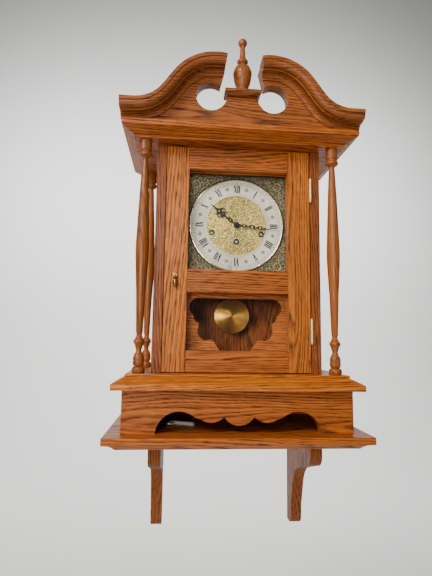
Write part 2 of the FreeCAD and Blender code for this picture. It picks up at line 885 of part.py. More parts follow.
def make_rail(label, low, high, rabbet_below, rabbet_above):
    """A door rail: its back half runs on into the rabbets of both stiles."""
    front = block(
        label + "_front",
        (-d.window_half, d.window_half),
        (-d.door_front, -d.rabbet_front),
        (low, high),
    )
    back = block(
        label + "_back",
        (-rabbet_half, rabbet_half),
        (-d.rabbet_front, -door_back),
        (
            low + (d.glass_rabbet if rabbet_below else 0),
            high - (d.glass_rabbet if rabbet_above else 0),
        ),
    )
    return join(label, front, back)


keep(make_stile_left())
keep(make_stile_right())
keep(make_rail("door_rail_bottom", door_foot, low_sill, False, True))
keep(make_rail("door_rail_middle", low_head, high_sill, True, True))
keep(make_rail("door_rail_top", high_head, door_top, True, False))


def make_glass(label, sill, head):
    """A pane lying in the rabbet."""
    play = 0.3
    reach = d.glass_rabbet - play
    return block(
        label,
        (-rabbet_half + play, rabbet_half - play),
        (-d.rabbet_front, -d.rabbet_front + d.glass_thick),
        (sill - reach, head + reach),
    )


def make_beads(label, sill, head):
    """Four strips that hold a pane in its rabbet."""
    behind = (-d.rabbet_front + d.glass_thick, -door_back)
    low, high = sill - d.glass_rabbet, head + d.glass_rabbet
    return [
        block(label + "_foot", (-rabbet_half, rabbet_half), behind, (low, sill)),
        block(label + "_head", (-rabbet_half, rabbet_half), behind, (head, high)),
        block(label + "_left", (-rabbet_half, -d.window_half), behind, (sill, head)),
        block(label + "_right", (d.window_half, rabbet_half), behind, (sill, head)),
    ]


panes = [
    make_glass("upper_pane", high_sill, high_head),
    make_glass("lower_pane", low_sill, low_head),
]
keep(group("door_glass", *panes))
beads = make_beads("upper_bead", high_sill, high_head) + make_beads("lower_bead", low_sill, low_head)
keep(group("glass_beads", *beads))


# ---------------------------------------------------------------- hinges and pull
def make_leaf(label, foot, knuckles, side):
    """One leaf with its knuckles; side is -1 for the door and 1 for the case."""
    axis_y = -d.hinge_depth
    clear = d.hinge_barrel + 0.4
    tall = d.hinge_knuckle * 5
    edge = d.door_half if side < 0 else case_inner
    across = (edge - d.hinge_leaf, edge) if side < 0 else (edge, edge + d.hinge_leaf)
    parts = [block(label + "_plate", across, (axis_y + clear, size(-156.0)), (foot, foot + tall))]
    play = 0.12
    for number in knuckles:
        low = foot + number * d.hinge_knuckle + play
        high = foot + (number + 1) * d.hinge_knuckle - play
        tag = f"{label}_{number}"
        parts.append(rod_z(tag + "_barrel", d.hinge_x, axis_y, low, high, d.hinge_barrel))
        parts.append(block(tag + "_tongue", across, (axis_y, axis_y + clear + 1), (low, high)))
    bore = d.hinge_pin + (d.running_gap if side < 0 else 0)
    hole = rod_z(label + "_bore", d.hinge_x, axis_y, foot - 1, foot + tall + 1, bore)
    return carve(label, join(label + "_blank", *parts), hole)


def make_pin(label, foot):
    """A hinge pin with a small ball at each end."""
    tall = d.hinge_knuckle * 5
    over = 1.0
    outline = [
        (size(0), -over - 1.6),
        (1.9, -over, cap_radius(1.9, 1.6)),
        (1.9, -0.1),
        (d.hinge_pin, -0.1),
        (d.hinge_pin, tall + 0.1),
        (1.9, tall + 0.1),
        (1.9, tall + over),
        (size(0), tall + over + 1.6, cap_radius(1.9, 1.6)),
    ]
    return place(turned(label, "XZ_Plane", outline), d.hinge_x, -d.hinge_depth, foot)


case_hinge_parts = []
door_hinge_parts = []
for name, foot in (("low", d.hinge_low), ("high", d.hinge_high)):
    case_hinge_parts.append(make_leaf(f"case_leaf_{name}", foot, (0, 2, 4), 1))
    case_hinge_parts.append(make_pin(f"hinge_pin_{name}", foot))
    door_hinge_parts.append(make_leaf(f"door_leaf_{name}", foot, (1, 3), -1))
keep(group("hinge_leaves_case", *case_hinge_parts))
keep(group("hinge_leaves_door", *door_hinge_parts))

pull_x = -111.2
pull_z = 316.5
pull_depth = 178.6
pull_front = d.door_front
boss = turned(
    "pull_boss",
    "XY_Plane",
    [
        (size(0), -1.4),
        (size(0), size(0)),
        (5.0, size(0)),
        (5.0, -0.8),
        (3.2, -1.4, -3.0),
    ],
)
place(boss, pull_x, -pull_front, pull_z)
post = rod_y("pull_post", pull_x, pull_z, size(1.5), pull_front + 1, size(pull_depth + 2.2))
post_bore = rod_x("pull_bore", size(-pull_depth), size(pull_z), size(pull_x - 3), size(pull_x + 3), 0.75)
keep(carve("pull_rosette", join("pull_rosette_blank", boss, post), post_bore))


def make_pull_drop():
    """The hanging pear, with a fork round the post and a pin through it."""
    pear = turned(
        "pull_pear",
        "XZ_Plane",
        [
            (size(0), -21.5),
            (2.2, -20.6, cap_radius(2.2, 0.9)),
            (4.4, -13.5, 9.0),
            (1.5, -6.2, 7.0),
            (2.3, -4.9, 1.2),
            (1.5, -3.4, 2.0),
            (size(0), -3.4),
        ],
    )
    place(pear, pull_x, -pull_depth, pull_z)
    fork = []
    for side, name in ((-1, "left"), (1, "right")):
        middle = pull_x + side * 2.3
        cheek = (size(middle - 0.5), size(middle + 0.5))
        fork.append(block(f"fork_{name}", cheek, (size(-pull_depth - 1.2), size(-pull_depth + 1.2)),
                          (size(pull_z - 4.4), size(pull_z + 1.4))))
    bridge = block(
        "fork_bridge",
        (size(pull_x - 2.8), size(pull_x + 2.8)),
        (size(-pull_depth - 1.2), size(-pull_depth + 1.2)),
        (size(pull_z - 4.4), size(pull_z - 3.0)),
    )
    pin = rod_x("pull_pin", size(-pull_depth), size(pull_z), size(pull_x - 2.8), size(pull_x + 2.8), 0.7)
    return join("pull_drop", pear, *fork, bridge, pin)


keep(make_pull_drop())


# ---------------------------------------------------------------- dial
def on_dial(x, z):
    """A point given from the dial's centre."""
    return size(x), d.dial_height + z


def make_dial_panel():
    """The board behind the dial, open for the movement above and for the pendulum below."""
    upper = rectangle(-56.0, 56.0, d.dial_height - 44.0, d.dial_height + 36.0)
    lobes = [
        (size(0), size(178.0)),
        (30.0, 187.0, 34.0),
        (38.5, 200.5),
        (53.0, 203.0, -12.0),
        (69.0, 221.0, 17.0),
        (66.5, 234.0),
        (77.0, 248.0, 14.0),
        (70.0, 280.0, 17.5),
        (size(0), size(280.0)),
    ]
    lower = two_sided(lobes)
    outline = rectangle(-case_inner, case_inner, case_foot, case_top)
    start = d.panel_front - d.panel_thick
    panel = slab("dial_panel", "XZ_Plane", outline, start, d.panel_thick, cutouts=[upper, lower])
    return panel


def wind_points():
    """The three winding squares from the dial's centre."""
    return [
        ("strike", -d.side_wind_x, d.side_wind_z),
        ("going", size(0), d.main_wind_z),
        ("chime", d.side_wind_x, d.side_wind_z),
    ]


def make_dial_parts():
    """The square plate, the gilt centre, the corner castings, the ring and the grommets."""
    centre = d.dial_height
    grommet_hole = 4.5
    holes = [(size(0), centre, 3.6)]
    holes += [(x, centre + z, grommet_hole) for _, x, z in wind_points()]
    square = rectangle(-d.dial_half, d.dial_half, centre - d.dial_half, centre + d.dial_half)
    plate = slab("dial_plate", "XZ_Plane", square, d.panel_front, 1.0, holes)
    near, far = d.panel_front + 1.0, d.panel_front + 1.8
    disc_blank = rod_y("disc_blank", 0, centre, d.ring_inner - 0.2, near, far)
    drills = [
        rod_y(f"disc_hole_{index}", x, z, radius, near - 1, far + 1)
        for index, (x, z, radius) in enumerate(holes)
    ]
    disc = carve("dial_centre", disc_blank, *drills)
    disc_ring = turned(
        "ring_plate",
        "XY_Plane",
        [
            (d.ring_inner, size(0)),
            (d.ring_radius, size(0)),
            (d.ring_radius, -1.6),
            (d.ring_inner + 1.6, -1.6),
            (d.ring_inner, -2.2, -1.8),
        ],
    )
    bezel = turned(
        "ring_bezel",
        "XY_Plane",
        [
            (d.ring_radius, size(0)),
            (d.bezel_radius, size(0)),
            (d.bezel_radius, -1.0),
            (d.ring_radius + 1.6, -3.2, -3.4),
            (d.ring_radius, -2.2, -2.0),
        ],
    )
    for turning in (disc_ring, bezel):
        place(turning, 0, -d.panel_front - 1.0, centre)
    ring = group("chapter_ring", disc_ring, bezel)
    corners = []
    near = d.bezel_radius + 1.0
    far = d.dial_half - 1.5
    reach = size(26.0)
    spot = other_leg(near, reach)
    for name, x_side, z_side in (("ne", 1, 1), ("nw", -1, 1), ("se", 1, -1), ("sw", -1, -1)):
        turn_sign = -1 if x_side * z_side > 0 else 1
        outline = [
            (x_side * far, centre + z_side * reach),
            (x_side * far, centre + z_side * far),
            (x_side * reach, centre + z_side * far),
            (x_side * reach, centre + z_side * spot),
            (x_side * spot, centre + z_side * reach, turn_sign * near),
        ]
        corners.append(slab(f"corner_{name}", "XZ_Plane", outline, d.panel_front + 1.0, 1.2))
    spandrels = group("spandrels", *corners)
    rings = []
    for name, x, z in wind_points():
        rim = turned(
            f"grommet_{name}",
            "XY_Plane",
            [
                (3.3, -0.9),
                (3.3, 1.6),
                (4.5, 1.6),
                (4.5, size(0)),
                (5.6, size(0)),
                (4.6, -0.9, -1.1),
            ],
        )
        rings.append(place(rim, x, -d.panel_front - 1.8, centre + z))
    return plate, disc, ring, spandrels, group("winding_grommets", *rings)


keep(make_dial_panel())
for part in make_dial_parts():
    keep(part)


# ---------------------------------------------------------------- toothed wheels
def tooth_points(teeth, module, phase):
    """Points of an involute wheel about its own centre, with slim teeth for free running."""
    pressure = math.radians(20)
    pitch = teeth * module / 2
    base = pitch * math.cos(pressure)
    tip = pitch + 0.75 * module
    root = pitch - 1.15 * module
    half_tooth = 0.39 * math.pi / teeth

    def half_angle(radius):
        opening = math.acos(min(1.0, base / radius))
        return half_tooth + math.tan(pressure) - pressure - math.tan(opening) + opening

    low = max(base, root)
    flank = [low, (low + tip) / 2, tip]
    profile = [(radius, -half_angle(radius)) for radius in flank]
    profile += [(radius, half_angle(radius)) for radius in reversed(flank)]
    if root < base:
        profile = [(root, -half_angle(low)), *profile, (root, half_angle(low))]
    points = []
    for number in range(teeth):
        middle = math.radians(phase) + 2 * math.pi * number / teeth
        points += [(radius, middle + angle) for radius, angle in profile]
    return [Vector(radius * math.cos(angle), 0, radius * math.sin(angle)) for radius, angle in points]


def ratchet_points(teeth, tip, root, phase=0.0):
    """Points of a saw-toothed wheel about its own centre."""
    points = []
    for number in range(teeth):
        angle = math.radians(phase) + 2 * math.pi * number / teeth
        later = angle + 2 * math.pi / teeth * 0.86
        points.append(Vector(tip * math.cos(angle), 0, tip * math.sin(angle)))
        points.append(Vector(root * math.cos(later), 0, root * math.sin(later)))
    return points


def wheel(label, points, bore, near, thick, x, z, windows=0, rim=0.0, hub=0.0):
    """A wheel cut from sheet: its centre from the dial's centre, near side's depth, thickness."""
    face = Part.Face(Part.makePolygon(points + [points[0]]))
    shape = face.extrude(Vector(0, -thick, 0))
    tools = [Part.makeCylinder(size(bore).value, thick + 2, Vector(0, 1, 0), Vector(0, -1, 0))]
    for number in range(windows):
        angle = 2 * math.pi * (number + 0.5) / windows
        middle = (rim + hub) / 2
        spot = Vector(middle * math.cos(angle), 1, middle * math.sin(angle))
        tools.append(Part.makeCylinder((rim - hub) / 2, thick + 2, spot, Vector(0, -1, 0)))
    piece = doc.addObject("Part::Feature", label)
    piece.Shape = shape.cut(Part.Compound(tools))
    centre_x, centre_z = on_dial(x, z)
    return place(piece, centre_x, -near, centre_z)


def spindle(label, x, z, steps):
    """A stepped arbor along Y from (depth, radius) steps; the last entry only ends it."""
    outline = [(size(0), -size(steps[0][0]))]
    for (near, radius), (far, _) in zip(steps, steps[1:]):
        outline += [(radius, -size(near)), (radius, -size(far))]
    outline.append((size(0), -size(steps[-1][0])))
    centre_x, centre_z = on_dial(x, z)
    return place(turned(label, "XY_Plane", outline), centre_x, 0, centre_z)


def meshed(teeth, bearing):
    """The phase that turns a tooth gap towards the wheel that lies at a bearing."""
    return bearing + 180.0 / teeth


plate_rear_out = d.plate_rear - d.plate_thick
plate_front_out = d.plate_front + d.plate_thick
end_play = 0.3

# Tooth counts and modules: drives on the left, driven pinions on the right.
BARREL_TEETH, IDLER_PINION, BARREL_MODULE = 72, 9, 0.6
IDLER_TEETH, CENTRE_PINION, IDLER_MODULE = 48, 12, 0.72
CENTRE_TEETH, THIRD_PINION, CENTRE_MODULE = 96, 8, 0.4
THIRD_TEETH, ESCAPE_PINION, THIRD_MODULE = 88, 8, 0.36
CANNON_TEETH, MINUTE_TEETH, CANNON_MODULE = 12, 36, 0.5
MINUTE_PINION, HOUR_TEETH, HOUR_MODULE = 10, 40, 0.48
ESCAPE_TEETH = 30



def spacing(wheel_teeth, pinion_teeth, module):
    """Distance between the arbors of a wheel and a pinion in mesh."""
    return module * (wheel_teeth + pinion_teeth) / 2


def beside_line(low_z, low_reach, high_z, high_reach, side):
    """An arbor at its own distance from each of two arbors on the dial's middle line."""
    z = (low_reach ** 2 - high_reach ** 2 + high_z ** 2 - low_z ** 2) / (2 * (high_z - low_z))
    return side * math.sqrt(low_reach ** 2 - (z - low_z) ** 2), z


escape_z = 25.1
escape_clearance = 0.73
MINUTE_STUD = math.radians(60.0)
idler_x, idler_z = beside_line(
    d.main_wind_z.value,
    spacing(BARREL_TEETH, IDLER_PINION, BARREL_MODULE),
    0.0,
    spacing(IDLER_TEETH, CENTRE_PINION, IDLER_MODULE),
    1,
)
third_x, third_z = beside_line(
    0.0,
    spacing(CENTRE_TEETH, THIRD_PINION, CENTRE_MODULE),
    escape_z,
    spacing(THIRD_TEETH, ESCAPE_PINION, THIRD_MODULE) + escape_clearance,
    -1,
)
minute_reach = spacing(MINUTE_TEETH, CANNON_TEETH, CANNON_MODULE)
minute_x, minute_z = minute_reach * math.cos(MINUTE_STUD), minute_reach * math.sin(MINUTE_STUD)


def bearing(from_x, from_z, to_x, to_z):
    """Direction from one arbor to another, degrees from +X towards +Z."""
    return math.degrees(math.atan2(to_z - from_z, to_x - from_x))


# ---------------------------------------------------------------- movement plates
def make_plates():
    """The two plates, with the pillars, the pendulum cock and the hammer brackets."""
    main = size(d.main_wind_z)
    pivot = d.pivot_radius + d.running_gap
    pivots = [(idler_x, idler_z), (third_x, third_z), (size(0), size(escape_z)), (size(0), d.swing_height)]
    posts = [(side * 64.0, up) for side in (-1, 1) for up in (-51.0, 43.0)]
    square = rectangle(
        -d.plate_half, d.plate_half, d.dial_height + d.plate_foot, d.dial_height + d.plate_top
    )
    front_holes = [(*on_dial(0, 0), 1.2 + d.running_gap)]
    rear_holes = [(*on_dial(0, 0), pivot)]
    for x, z in pivots:
        front_holes.append((*on_dial(x, z), pivot))
        rear_holes.append((*on_dial(x, z), pivot))
    for _, x, z in wind_points():
        front_holes.append((*on_dial(x, z), 2.6 + d.running_gap))
        rear_holes.append((*on_dial(x, z), 2.0 + d.running_gap))
    for x, z in posts:
        front_holes.append((*on_dial(x, z), size(2.5)))
    front = slab("front_plate_sheet", "XZ_Plane", square, d.plate_front, d.plate_thick, front_holes)
    rear = slab("back_plate_sheet", "XZ_Plane", square, plate_rear_out, d.plate_thick, rear_holes)
    extras = []
    for number, (x, z) in enumerate(posts):
        centre_x, centre_z = on_dial(x, z)
        extras.append(
            rod_y(f"pillar_{number}", centre_x, centre_z, 2.5, d.plate_rear, d.panel_front - d.panel_thick)
        )
    hub_z = d.dial_height + d.swing_height
    cock = [
        block(
            "cock_foot",
            (size(-8.0), size(8.0)),
            (-plate_rear_out, size(-74.5)),
            (hub_z + 8, hub_z + 13),
        ),
        block("cock_front", (size(-5.0), size(5.0)), (size(-81.5), size(-79.9)), (hub_z - 3.5, hub_z + 8)),
        block("cock_rear", (size(-5.0), size(5.0)), (size(-76.1), size(-74.5)), (hub_z - 3.5, hub_z + 8)),
    ]
    hub_bore = rod_y("cock_bore", 0, hub_z, pivot, size(73.0), size(83.0))
    extras.append(carve("pendulum_cock", join("cock_blank", *cock), hub_bore))
    shaft_z = d.dial_height - 50.0
    for side, name in ((-1, "left"), (1, "right")):
        near, far = sorted((side * 60.3, side * 63.3))
        ear = block(
            f"hammer_ear_{name}",
            (size(near), size(far)),
            (-plate_rear_out, size(-62.5)),
            (shaft_z - 4, shaft_z + 4),
        )
        bore = rod_x(f"hammer_bore_{name}", size(-66.0), shaft_z, size(near - 1), size(far + 1), 1.25)
        extras.append(carve(f"hammer_bracket_{name}", ear, bore))
    clicks = []
    for name, x, z in wind_points():
        low_x, low_z = on_dial(x, z)
        pawl = block(
            f"click_{name}",
            (low_x + 2.0, low_x + 11.0),
            (-plate_front_out - 2.0, -plate_front_out),
            (low_z + 9.8, low_z + 12.6),
        )
        clicks.append(pawl)
    stud_x, stud_z = on_dial(minute_x, minute_z)
    stud = rod_y("minute_stud", stud_x, stud_z, d.pivot_radius, plate_front_out, plate_front_out + 10.6)
    return group("front_plate", join("front_plate_solid", front, stud, *clicks)), group(
        "back_plate", rear, *extras
    )


for part in make_plates():
    keep(part)


# ---------------------------------------------------------------- barrels and winding arbors
def make_barrel(label, x, z, phase):
    """A spring barrel with its great wheel, free on the winding arbor."""
    centre_x, centre_z = on_dial(x, z)
    bore = 3.0 + d.running_gap
    drum = rod_y(label + "_drum", centre_x, centre_z, 19.5, size(99.5), size(122.0))
    cap = rod_y(label + "_cap", centre_x, centre_z, 20.0, size(120.5), size(122.6))
    hole = rod_y(label + "_bore", centre_x, centre_z, bore, size(98.0), size(124.0))
    shell = carve(label + "_shell", join(label + "_blank", drum, cap), hole)
    great = wheel(label + "_great", tooth_points(BARREL_TEETH, BARREL_MODULE, phase), bore, 97.0, 2.5, x, z)
    return join(label, shell, great)


idler_from_barrel = bearing(0, d.main_wind_z.value, idler_x, idler_z)
for name, x, z in wind_points():
    keep(make_barrel(name + "_barrel", x, z, idler_from_barrel if name == "going" else 0.0))


def make_winding_arbor(name, x, z):
    """A barrel arbor: back pivot, core, front bearing, square end and ratchet wheel."""
    body = spindle(
        f"{name}_core",
        x,
        z,
        [(plate_rear_out, 2.0), (96.0, 3.0), (d.plate_front - end_play, 2.6), (129.0, 0)],
    )
    centre_x, centre_z = on_dial(x, z)
    square = block(
        f"{name}_square",
        (centre_x - 1.8, centre_x + 1.8),
        (size(-141.3), size(-128.5)),
        (centre_z - 1.8, centre_z + 1.8),
    )
    saw = wheel(f"{name}_ratchet", ratchet_points(24, 9.0, 7.8), 2.6, 126.6, 1.2, x, z)
    return join(f"winding_arbor_{name}", body, square, saw)


for name, x, z in wind_points():
    keep(make_winding_arbor(name, x, z))


# ---------------------------------------------------------------- going train and motion work
def make_idler():
    """The wheel between the going barrel and the centre pinion."""
    to_barrel = bearing(idler_x, idler_z, 0, d.main_wind_z.value)
    to_centre = bearing(idler_x, idler_z, 0, 0)
    body = spindle(
        "idler_arbor",
        idler_x,
        idler_z,
        [
            (plate_rear_out, d.pivot_radius),
            (d.plate_rear + end_play, d.arbor_radius),
            (d.plate_front - end_play, d.pivot_radius),
            (plate_front_out, 0),
        ],
    )
    pinion_teeth = tooth_points(IDLER_PINION, BARREL_MODULE, meshed(IDLER_PINION, to_barrel))
    pinion = wheel("idler_pinion", pinion_teeth, d.arbor_radius, 96.4, 3.7, idler_x, idler_z)
    rim_teeth = tooth_points(IDLER_TEETH, IDLER_MODULE, to_centre)
    rim = wheel("idler_rim", rim_teeth, d.arbor_radius, 92.0, 1.2, idler_x, idler_z, 5, 14.4, 4.6)
    return join("intermediate_wheel", body, pinion, rim)


def make_centre():
    """The minute arbor: centre wheel and pinion between the plates, minute pipe and nut in front."""
    to_idler = bearing(0, 0, idler_x, idler_z)
    to_third = bearing(0, 0, third_x, third_z)
    to_minute = bearing(0, 0, minute_x, minute_z)
    body = spindle(
        "centre_spindle",
        0,
        0,
        [
            (plate_rear_out, d.pivot_radius),
            (d.plate_rear + end_play, d.arbor_radius),
            (d.plate_front - end_play, 1.2),
            (plate_front_out + 0.4, d.pipe_radius),
            (148.0, 3.2),
            (149.8, 2.0),
            (150.8, 0),
        ],
    )
    pinion_teeth = tooth_points(CENTRE_PINION, IDLER_MODULE, meshed(CENTRE_PINION, to_idler))
    pinion = wheel("centre_pinion", pinion_teeth, d.arbor_radius, 91.2, 2.7, 0, 0)
    rim_teeth = tooth_points(CENTRE_TEETH, CENTRE_MODULE, to_third)
    rim = wheel("centre_rim", rim_teeth, d.arbor_radius, 94.3, 1.2, 0, 0, 5, 16.4, 5.0)
    cannon_teeth = tooth_points(CANNON_TEETH, CANNON_MODULE, to_minute)
    cannon = wheel("cannon_pinion", cannon_teeth, d.pipe_radius, 127.0, 4.0, 0, 0)
    return join("centre_arbor", body, pinion, rim, cannon)


def make_minute_wheel():
    """The motion-work wheel that runs on its stud beside the minute pipe."""
    bore = d.pivot_radius + d.running_gap
    to_centre = bearing(minute_x, minute_z, 0, 0)
    rim_teeth = tooth_points(MINUTE_TEETH, CANNON_MODULE, meshed(MINUTE_TEETH, to_centre))
    rim = wheel("minute_rim", rim_teeth, bore, 129.0, 1.0, minute_x, minute_z)
    leaf_teeth = tooth_points(MINUTE_PINION, HOUR_MODULE, to_centre)
    leaves = wheel("minute_leaves", leaf_teeth, bore, 130.0, 6.0, minute_x, minute_z)
    return join("minute_wheel", rim, leaves)


def make_hour_wheel():
    """The hour wheel on its pipe, which turns on the minute pipe."""
    to_minute = bearing(0, 0, minute_x, minute_z)
    bore = d.pipe_radius + d.running_gap
    centre_x, centre_z = on_dial(0, 0)
    tube = rod_y("hour_tube", centre_x, centre_z, d.hour_pipe, size(133.6), size(145.4))
    hole = rod_y("hour_bore", centre_x, centre_z, bore, size(132.0), size(147.0))
    rim_teeth = tooth_points(HOUR_TEETH, HOUR_MODULE, meshed(HOUR_TEETH, to_minute))
    rim = wheel("hour_rim", rim_teeth, bore, 134.0, 1.0, 0, 0)
    return join("hour_wheel", carve("hour_sleeve", tube, hole), rim)


def make_third():
    """The third wheel: its pinion meshes with the centre wheel."""
    to_centre = bearing(third_x, third_z, 0, 0)
    body = spindle(
        "third_arbor",
        third_x,
        third_z,
        [
            (plate_rear_out, d.pivot_radius),
            (d.plate_rear + end_play, 1.05),
            (d.plate_front - end_play, d.pivot_radius),
            (plate_front_out, 0),
        ],
    )
    pinion_teeth = tooth_points(THIRD_PINION, CENTRE_MODULE, meshed(THIRD_PINION, to_centre))
    pinion = wheel("third_pinion", pinion_teeth, 1.05, 93.6, 2.6, third_x, third_z)
    rim_teeth = tooth_points(THIRD_TEETH, THIRD_MODULE, 0.0)
    rim = wheel("third_rim", rim_teeth, 1.05, 111.0, 1.0, third_x, third_z, 5, 13.4, 4.4)
    return join("third_wheel", body, pinion, rim)


def make_escape():
    """The escape wheel and its pinion."""
    body = spindle(
        "escape_arbor",
        0,
        escape_z,
        [
            (plate_rear_out, d.pivot_radius),
            (d.plate_rear + end_play, 0.95),
            (d.plate_front - end_play, 0.9),
            (plate_front_out, 0),
        ],
    )
    leaves = tooth_points(ESCAPE_PINION, THIRD_MODULE, 0.0)
    pinion = wheel("escape_leaves", leaves, 0.95, 110.0, 3.0, 0, escape_z)
    teeth = ratchet_points(ESCAPE_TEETH, 11.5, 9.8)
    rim = wheel("escape_rim", teeth, 0.95, 105.0, 1.0, 0, escape_z, 5, 8.6, 3.0)
    return join("escape_wheel", body, pinion, rim)


keep(make_idler())
keep(make_centre())
keep(make_minute_wheel())
keep(make_hour_wheel())
keep(make_third())
keep(make_escape())


# ---------------------------------------------------------------- hands
def make_hand(label, half, eyes, hub, near, angle):
    """A pierced hand drawn pointing to twelve and turned to its place."""
    holes = [(size(0), size(0), hub)]
    holes += [(size(x), size(z), radius) for x, z, radius in eyes]
    hand = slab(label, "XZ_Plane", two_sided(half), near, 0.8, holes)
    turn(hand, (0, 1, 0), angle)
    return place(hand, z=d.dial_height)


hour_hand = [
    (size(0), -5.6),
    (5.6, size(0), 5.6),
    (2.2, 5.15, 5.6),
    (1.3, 10.0),
    (1.3, 22.0, 8.7),
    (1.3, 27.0),
    (5.0, 31.0, -5.0),
    (5.5, 44.0, 6.7),
    (2.2, 48.5, -6.0),
    (1.4, 53.0),
    (size(0), 66.0),
]
hour_eyes = [(0, 16.0, 2.1), (-6.2, 37.4, 2.7), (6.2, 37.4, 2.7), (0, 33.6, 1.5), (0, 42.2, 1.5)]
minute_hand = [
    (size(0), -5.0),
    (5.0, size(0), 5.0),
    (1.9, 4.62, 5.0),
    (1.2, 9.0),
    (1.2, 19.0, 7.5),
    (1.1, 22.0),
    (1.1, 35.0, 9.0),
    (1.1, 38.0),
    (1.1, 49.0, 7.0),
    (2.4, 52.5, -4.0),
    (0.9, 57.0, -7.0),
    (size(0), 83.0),
]
minute_eyes = [(0, 14.0, 1.7), (0, 28.5, 2.4), (0, 43.5, 2.3)]
keep(make_hand("hour_hand", hour_hand, hour_eyes, d.hour_pipe, 144.3, d.hour_angle))
keep(make_hand("minute_hand", minute_hand, minute_eyes, d.pipe_radius, 147.0, d.minute_angle))


# ---------------------------------------------------------------- escapement and pendulum
def make_anchor():
    """The pallet anchor on its arbor, with the crutch behind the back plate."""
    body = spindle(
        "pallet_arbor",
        0,
        d.swing_height,
        [
            (83.5, d.pivot_radius),
            (d.plate_rear + end_play, 1.5),
            (d.plate_front - end_play, d.pivot_radius),
            (plate_front_out, 0),
        ],
    )
    hub = d.dial_height + d.swing_height
    half = [
        (size(0), hub - 3.0),
        (7.5, hub - 5.8),
        (11.6, hub - 9.8),
        (13.2, hub - 8.2),
        (9.4, hub - 2.6),
        (size(0), hub + 3.0),
    ]
    anchor = slab("anchor_arms", "XZ_Plane", two_sided(half), 104.6, 1.8)
    depth = (size(-84.5), size(-83.5))
    crutch = block("crutch_arm", (size(-1.5), size(1.5)), depth, (hub - 38.0, hub + 3.0))
    foot = (hub - 38.0, hub - 35.0)
    yoke = block("crutch_yoke", (size(-5.2), size(5.2)), depth, foot)
    prongs = [
        block(f"prong_{name}", (size(low), size(low + 1.6)), (size(-84.0), size(-75.5)), foot)
        for name, low in (("left", -5.2), ("right", 3.6))
    ]
    return join("pallet_anchor", body, anchor, crutch, yoke, *prongs)


def make_pendulum():
    """The rod with its pivot pin and thread, the brass bob, and the rating nut."""
    hub = d.dial_height + d.swing_height
    bob_z = hub - d.bob_drop
    thick = (-d.rod_depth - 0.8, -d.rod_depth + 0.8)
    strip = block("rod_strip", (size(-3.0), size(3.0)), thick, (bob_z - 9.0, hub))
    eye = rod_y("rod_eye", 0, hub, 3.4, d.rod_depth - 0.8, d.rod_depth + 0.8)
    pin = rod_y("rod_pin", 0, hub, d.pivot_radius, size(74.2), size(81.8))
    thread = rod_z("rod_thread", 0, -d.rod_depth, bob_z - 24.0, bob_z - 8.5, 1.5)
    rod = join("pendulum_rod", strip, eye, pin, thread)
    back = d.rod_depth + 1.3
    lens = turned(
        "bob_lens",
        "XY_Plane",
        [
            (size(0), -back),
            (d.bob_radius, -back),
            (d.bob_radius, -back - 1.0),
            (d.bob_radius - 1.6, -back - 1.5, -2.2),
            (size(0), -back - 5.4, -cap_radius(d.bob_radius - 1.6, 3.9)),
        ],
    )
    place(lens, z=bob_z)
    sleeve = block(
        "bob_sleeve",
        (size(-6.0), size(6.0)),
        (-back, -d.rod_depth + 2.4),
        (bob_z - 9.0, bob_z + 9.0),
    )
    slot = block(
        "bob_slot",
        (size(-3.1), size(3.1)),
        (-d.rod_depth - 0.9, -d.rod_depth + 0.9),
        (bob_z - 10.0, bob_z + 10.0),
    )
    pocket = block(
        "nut_pocket",
        (size(-6.5), size(6.5)),
        (-d.rod_depth - 5.0, -d.rod_depth),
        (bob_z - 15.0, bob_z - 9.0),
    )
    groove = block(
        "thread_groove",
        (size(-2.0), size(2.0)),
        (-d.rod_depth - 2.0, -d.rod_depth + 2.0),
        (bob_z - 25.0, bob_z - 8.0),
    )
    bob = carve("pendulum_bob", join("bob_whole", lens, carve("bob_guide", sleeve, slot)), pocket, groove)
    nut_blank = rod_z("nut_blank", 0, -d.rod_depth, bob_z - 13.6, bob_z - 9.4, 4.6)
    nut_bore = rod_z("nut_bore", 0, -d.rod_depth, bob_z - 15.0, bob_z - 8.0, 1.5 + d.running_gap)
    return rod, bob, carve("rating_nut", nut_blank, nut_bore)


keep(make_anchor())
for part in make_pendulum():
    keep(part)


# ---------------------------------------------------------------- gongs, hammers and key
GONGS = 8


def make_gongs():
    """Eight hanging rods of falling length and the cast block that holds them."""
    low, high = case_top - 26.0, case_top - 6.0
    half = 66.0
    blank = block(
        "gong_casting",
        (size(-half), size(half)),
        (-d.gong_depth - 7.0, -d.back_thick),
        (low, high),
    )
    inner = half - 8.0
    relief = block(
        "gong_relief",
        (size(-inner), size(inner)),
        (-d.gong_depth + 9.0, -d.back_thick - 8.0),
        (low - 1, high + 1),
    )
    casting = carve("gong_block", blank, relief)
    rods = []
    for number in range(GONGS):
        x = d.gong_pitch * (number - (GONGS - 1) / 2)
        foot = low - d.gong_longest + d.gong_step * number
        rods.append(rod_z(f"gong_{number}", x, -d.gong_depth, foot, low, d.gong_radius))
    return casting, group("gong_rods", *rods)


def make_hammers():
    """Five hammers on one arbor behind the movement."""
    shaft_z = d.dial_height - 50.0
    members = [rod_x("hammer_shaft", size(-66.0), shaft_z, size(-65.0), size(65.0), 1.2)]
    for number, x in enumerate((-56.0, -40.0, -24.0, 24.0, 40.0)):
        members.append(
            block(f"hammer_arm_{number}", (size(x - 1.2), size(x + 1.2)), (size(-67.0), size(-65.0)),
                  (shaft_z, shaft_z + 30.0))
        )
        members.append(rod_y(f"hammer_head_{number}", x, shaft_z + 30.0, 4.0, size(48.5), size(68.0)))
    return join("hammers", *members)


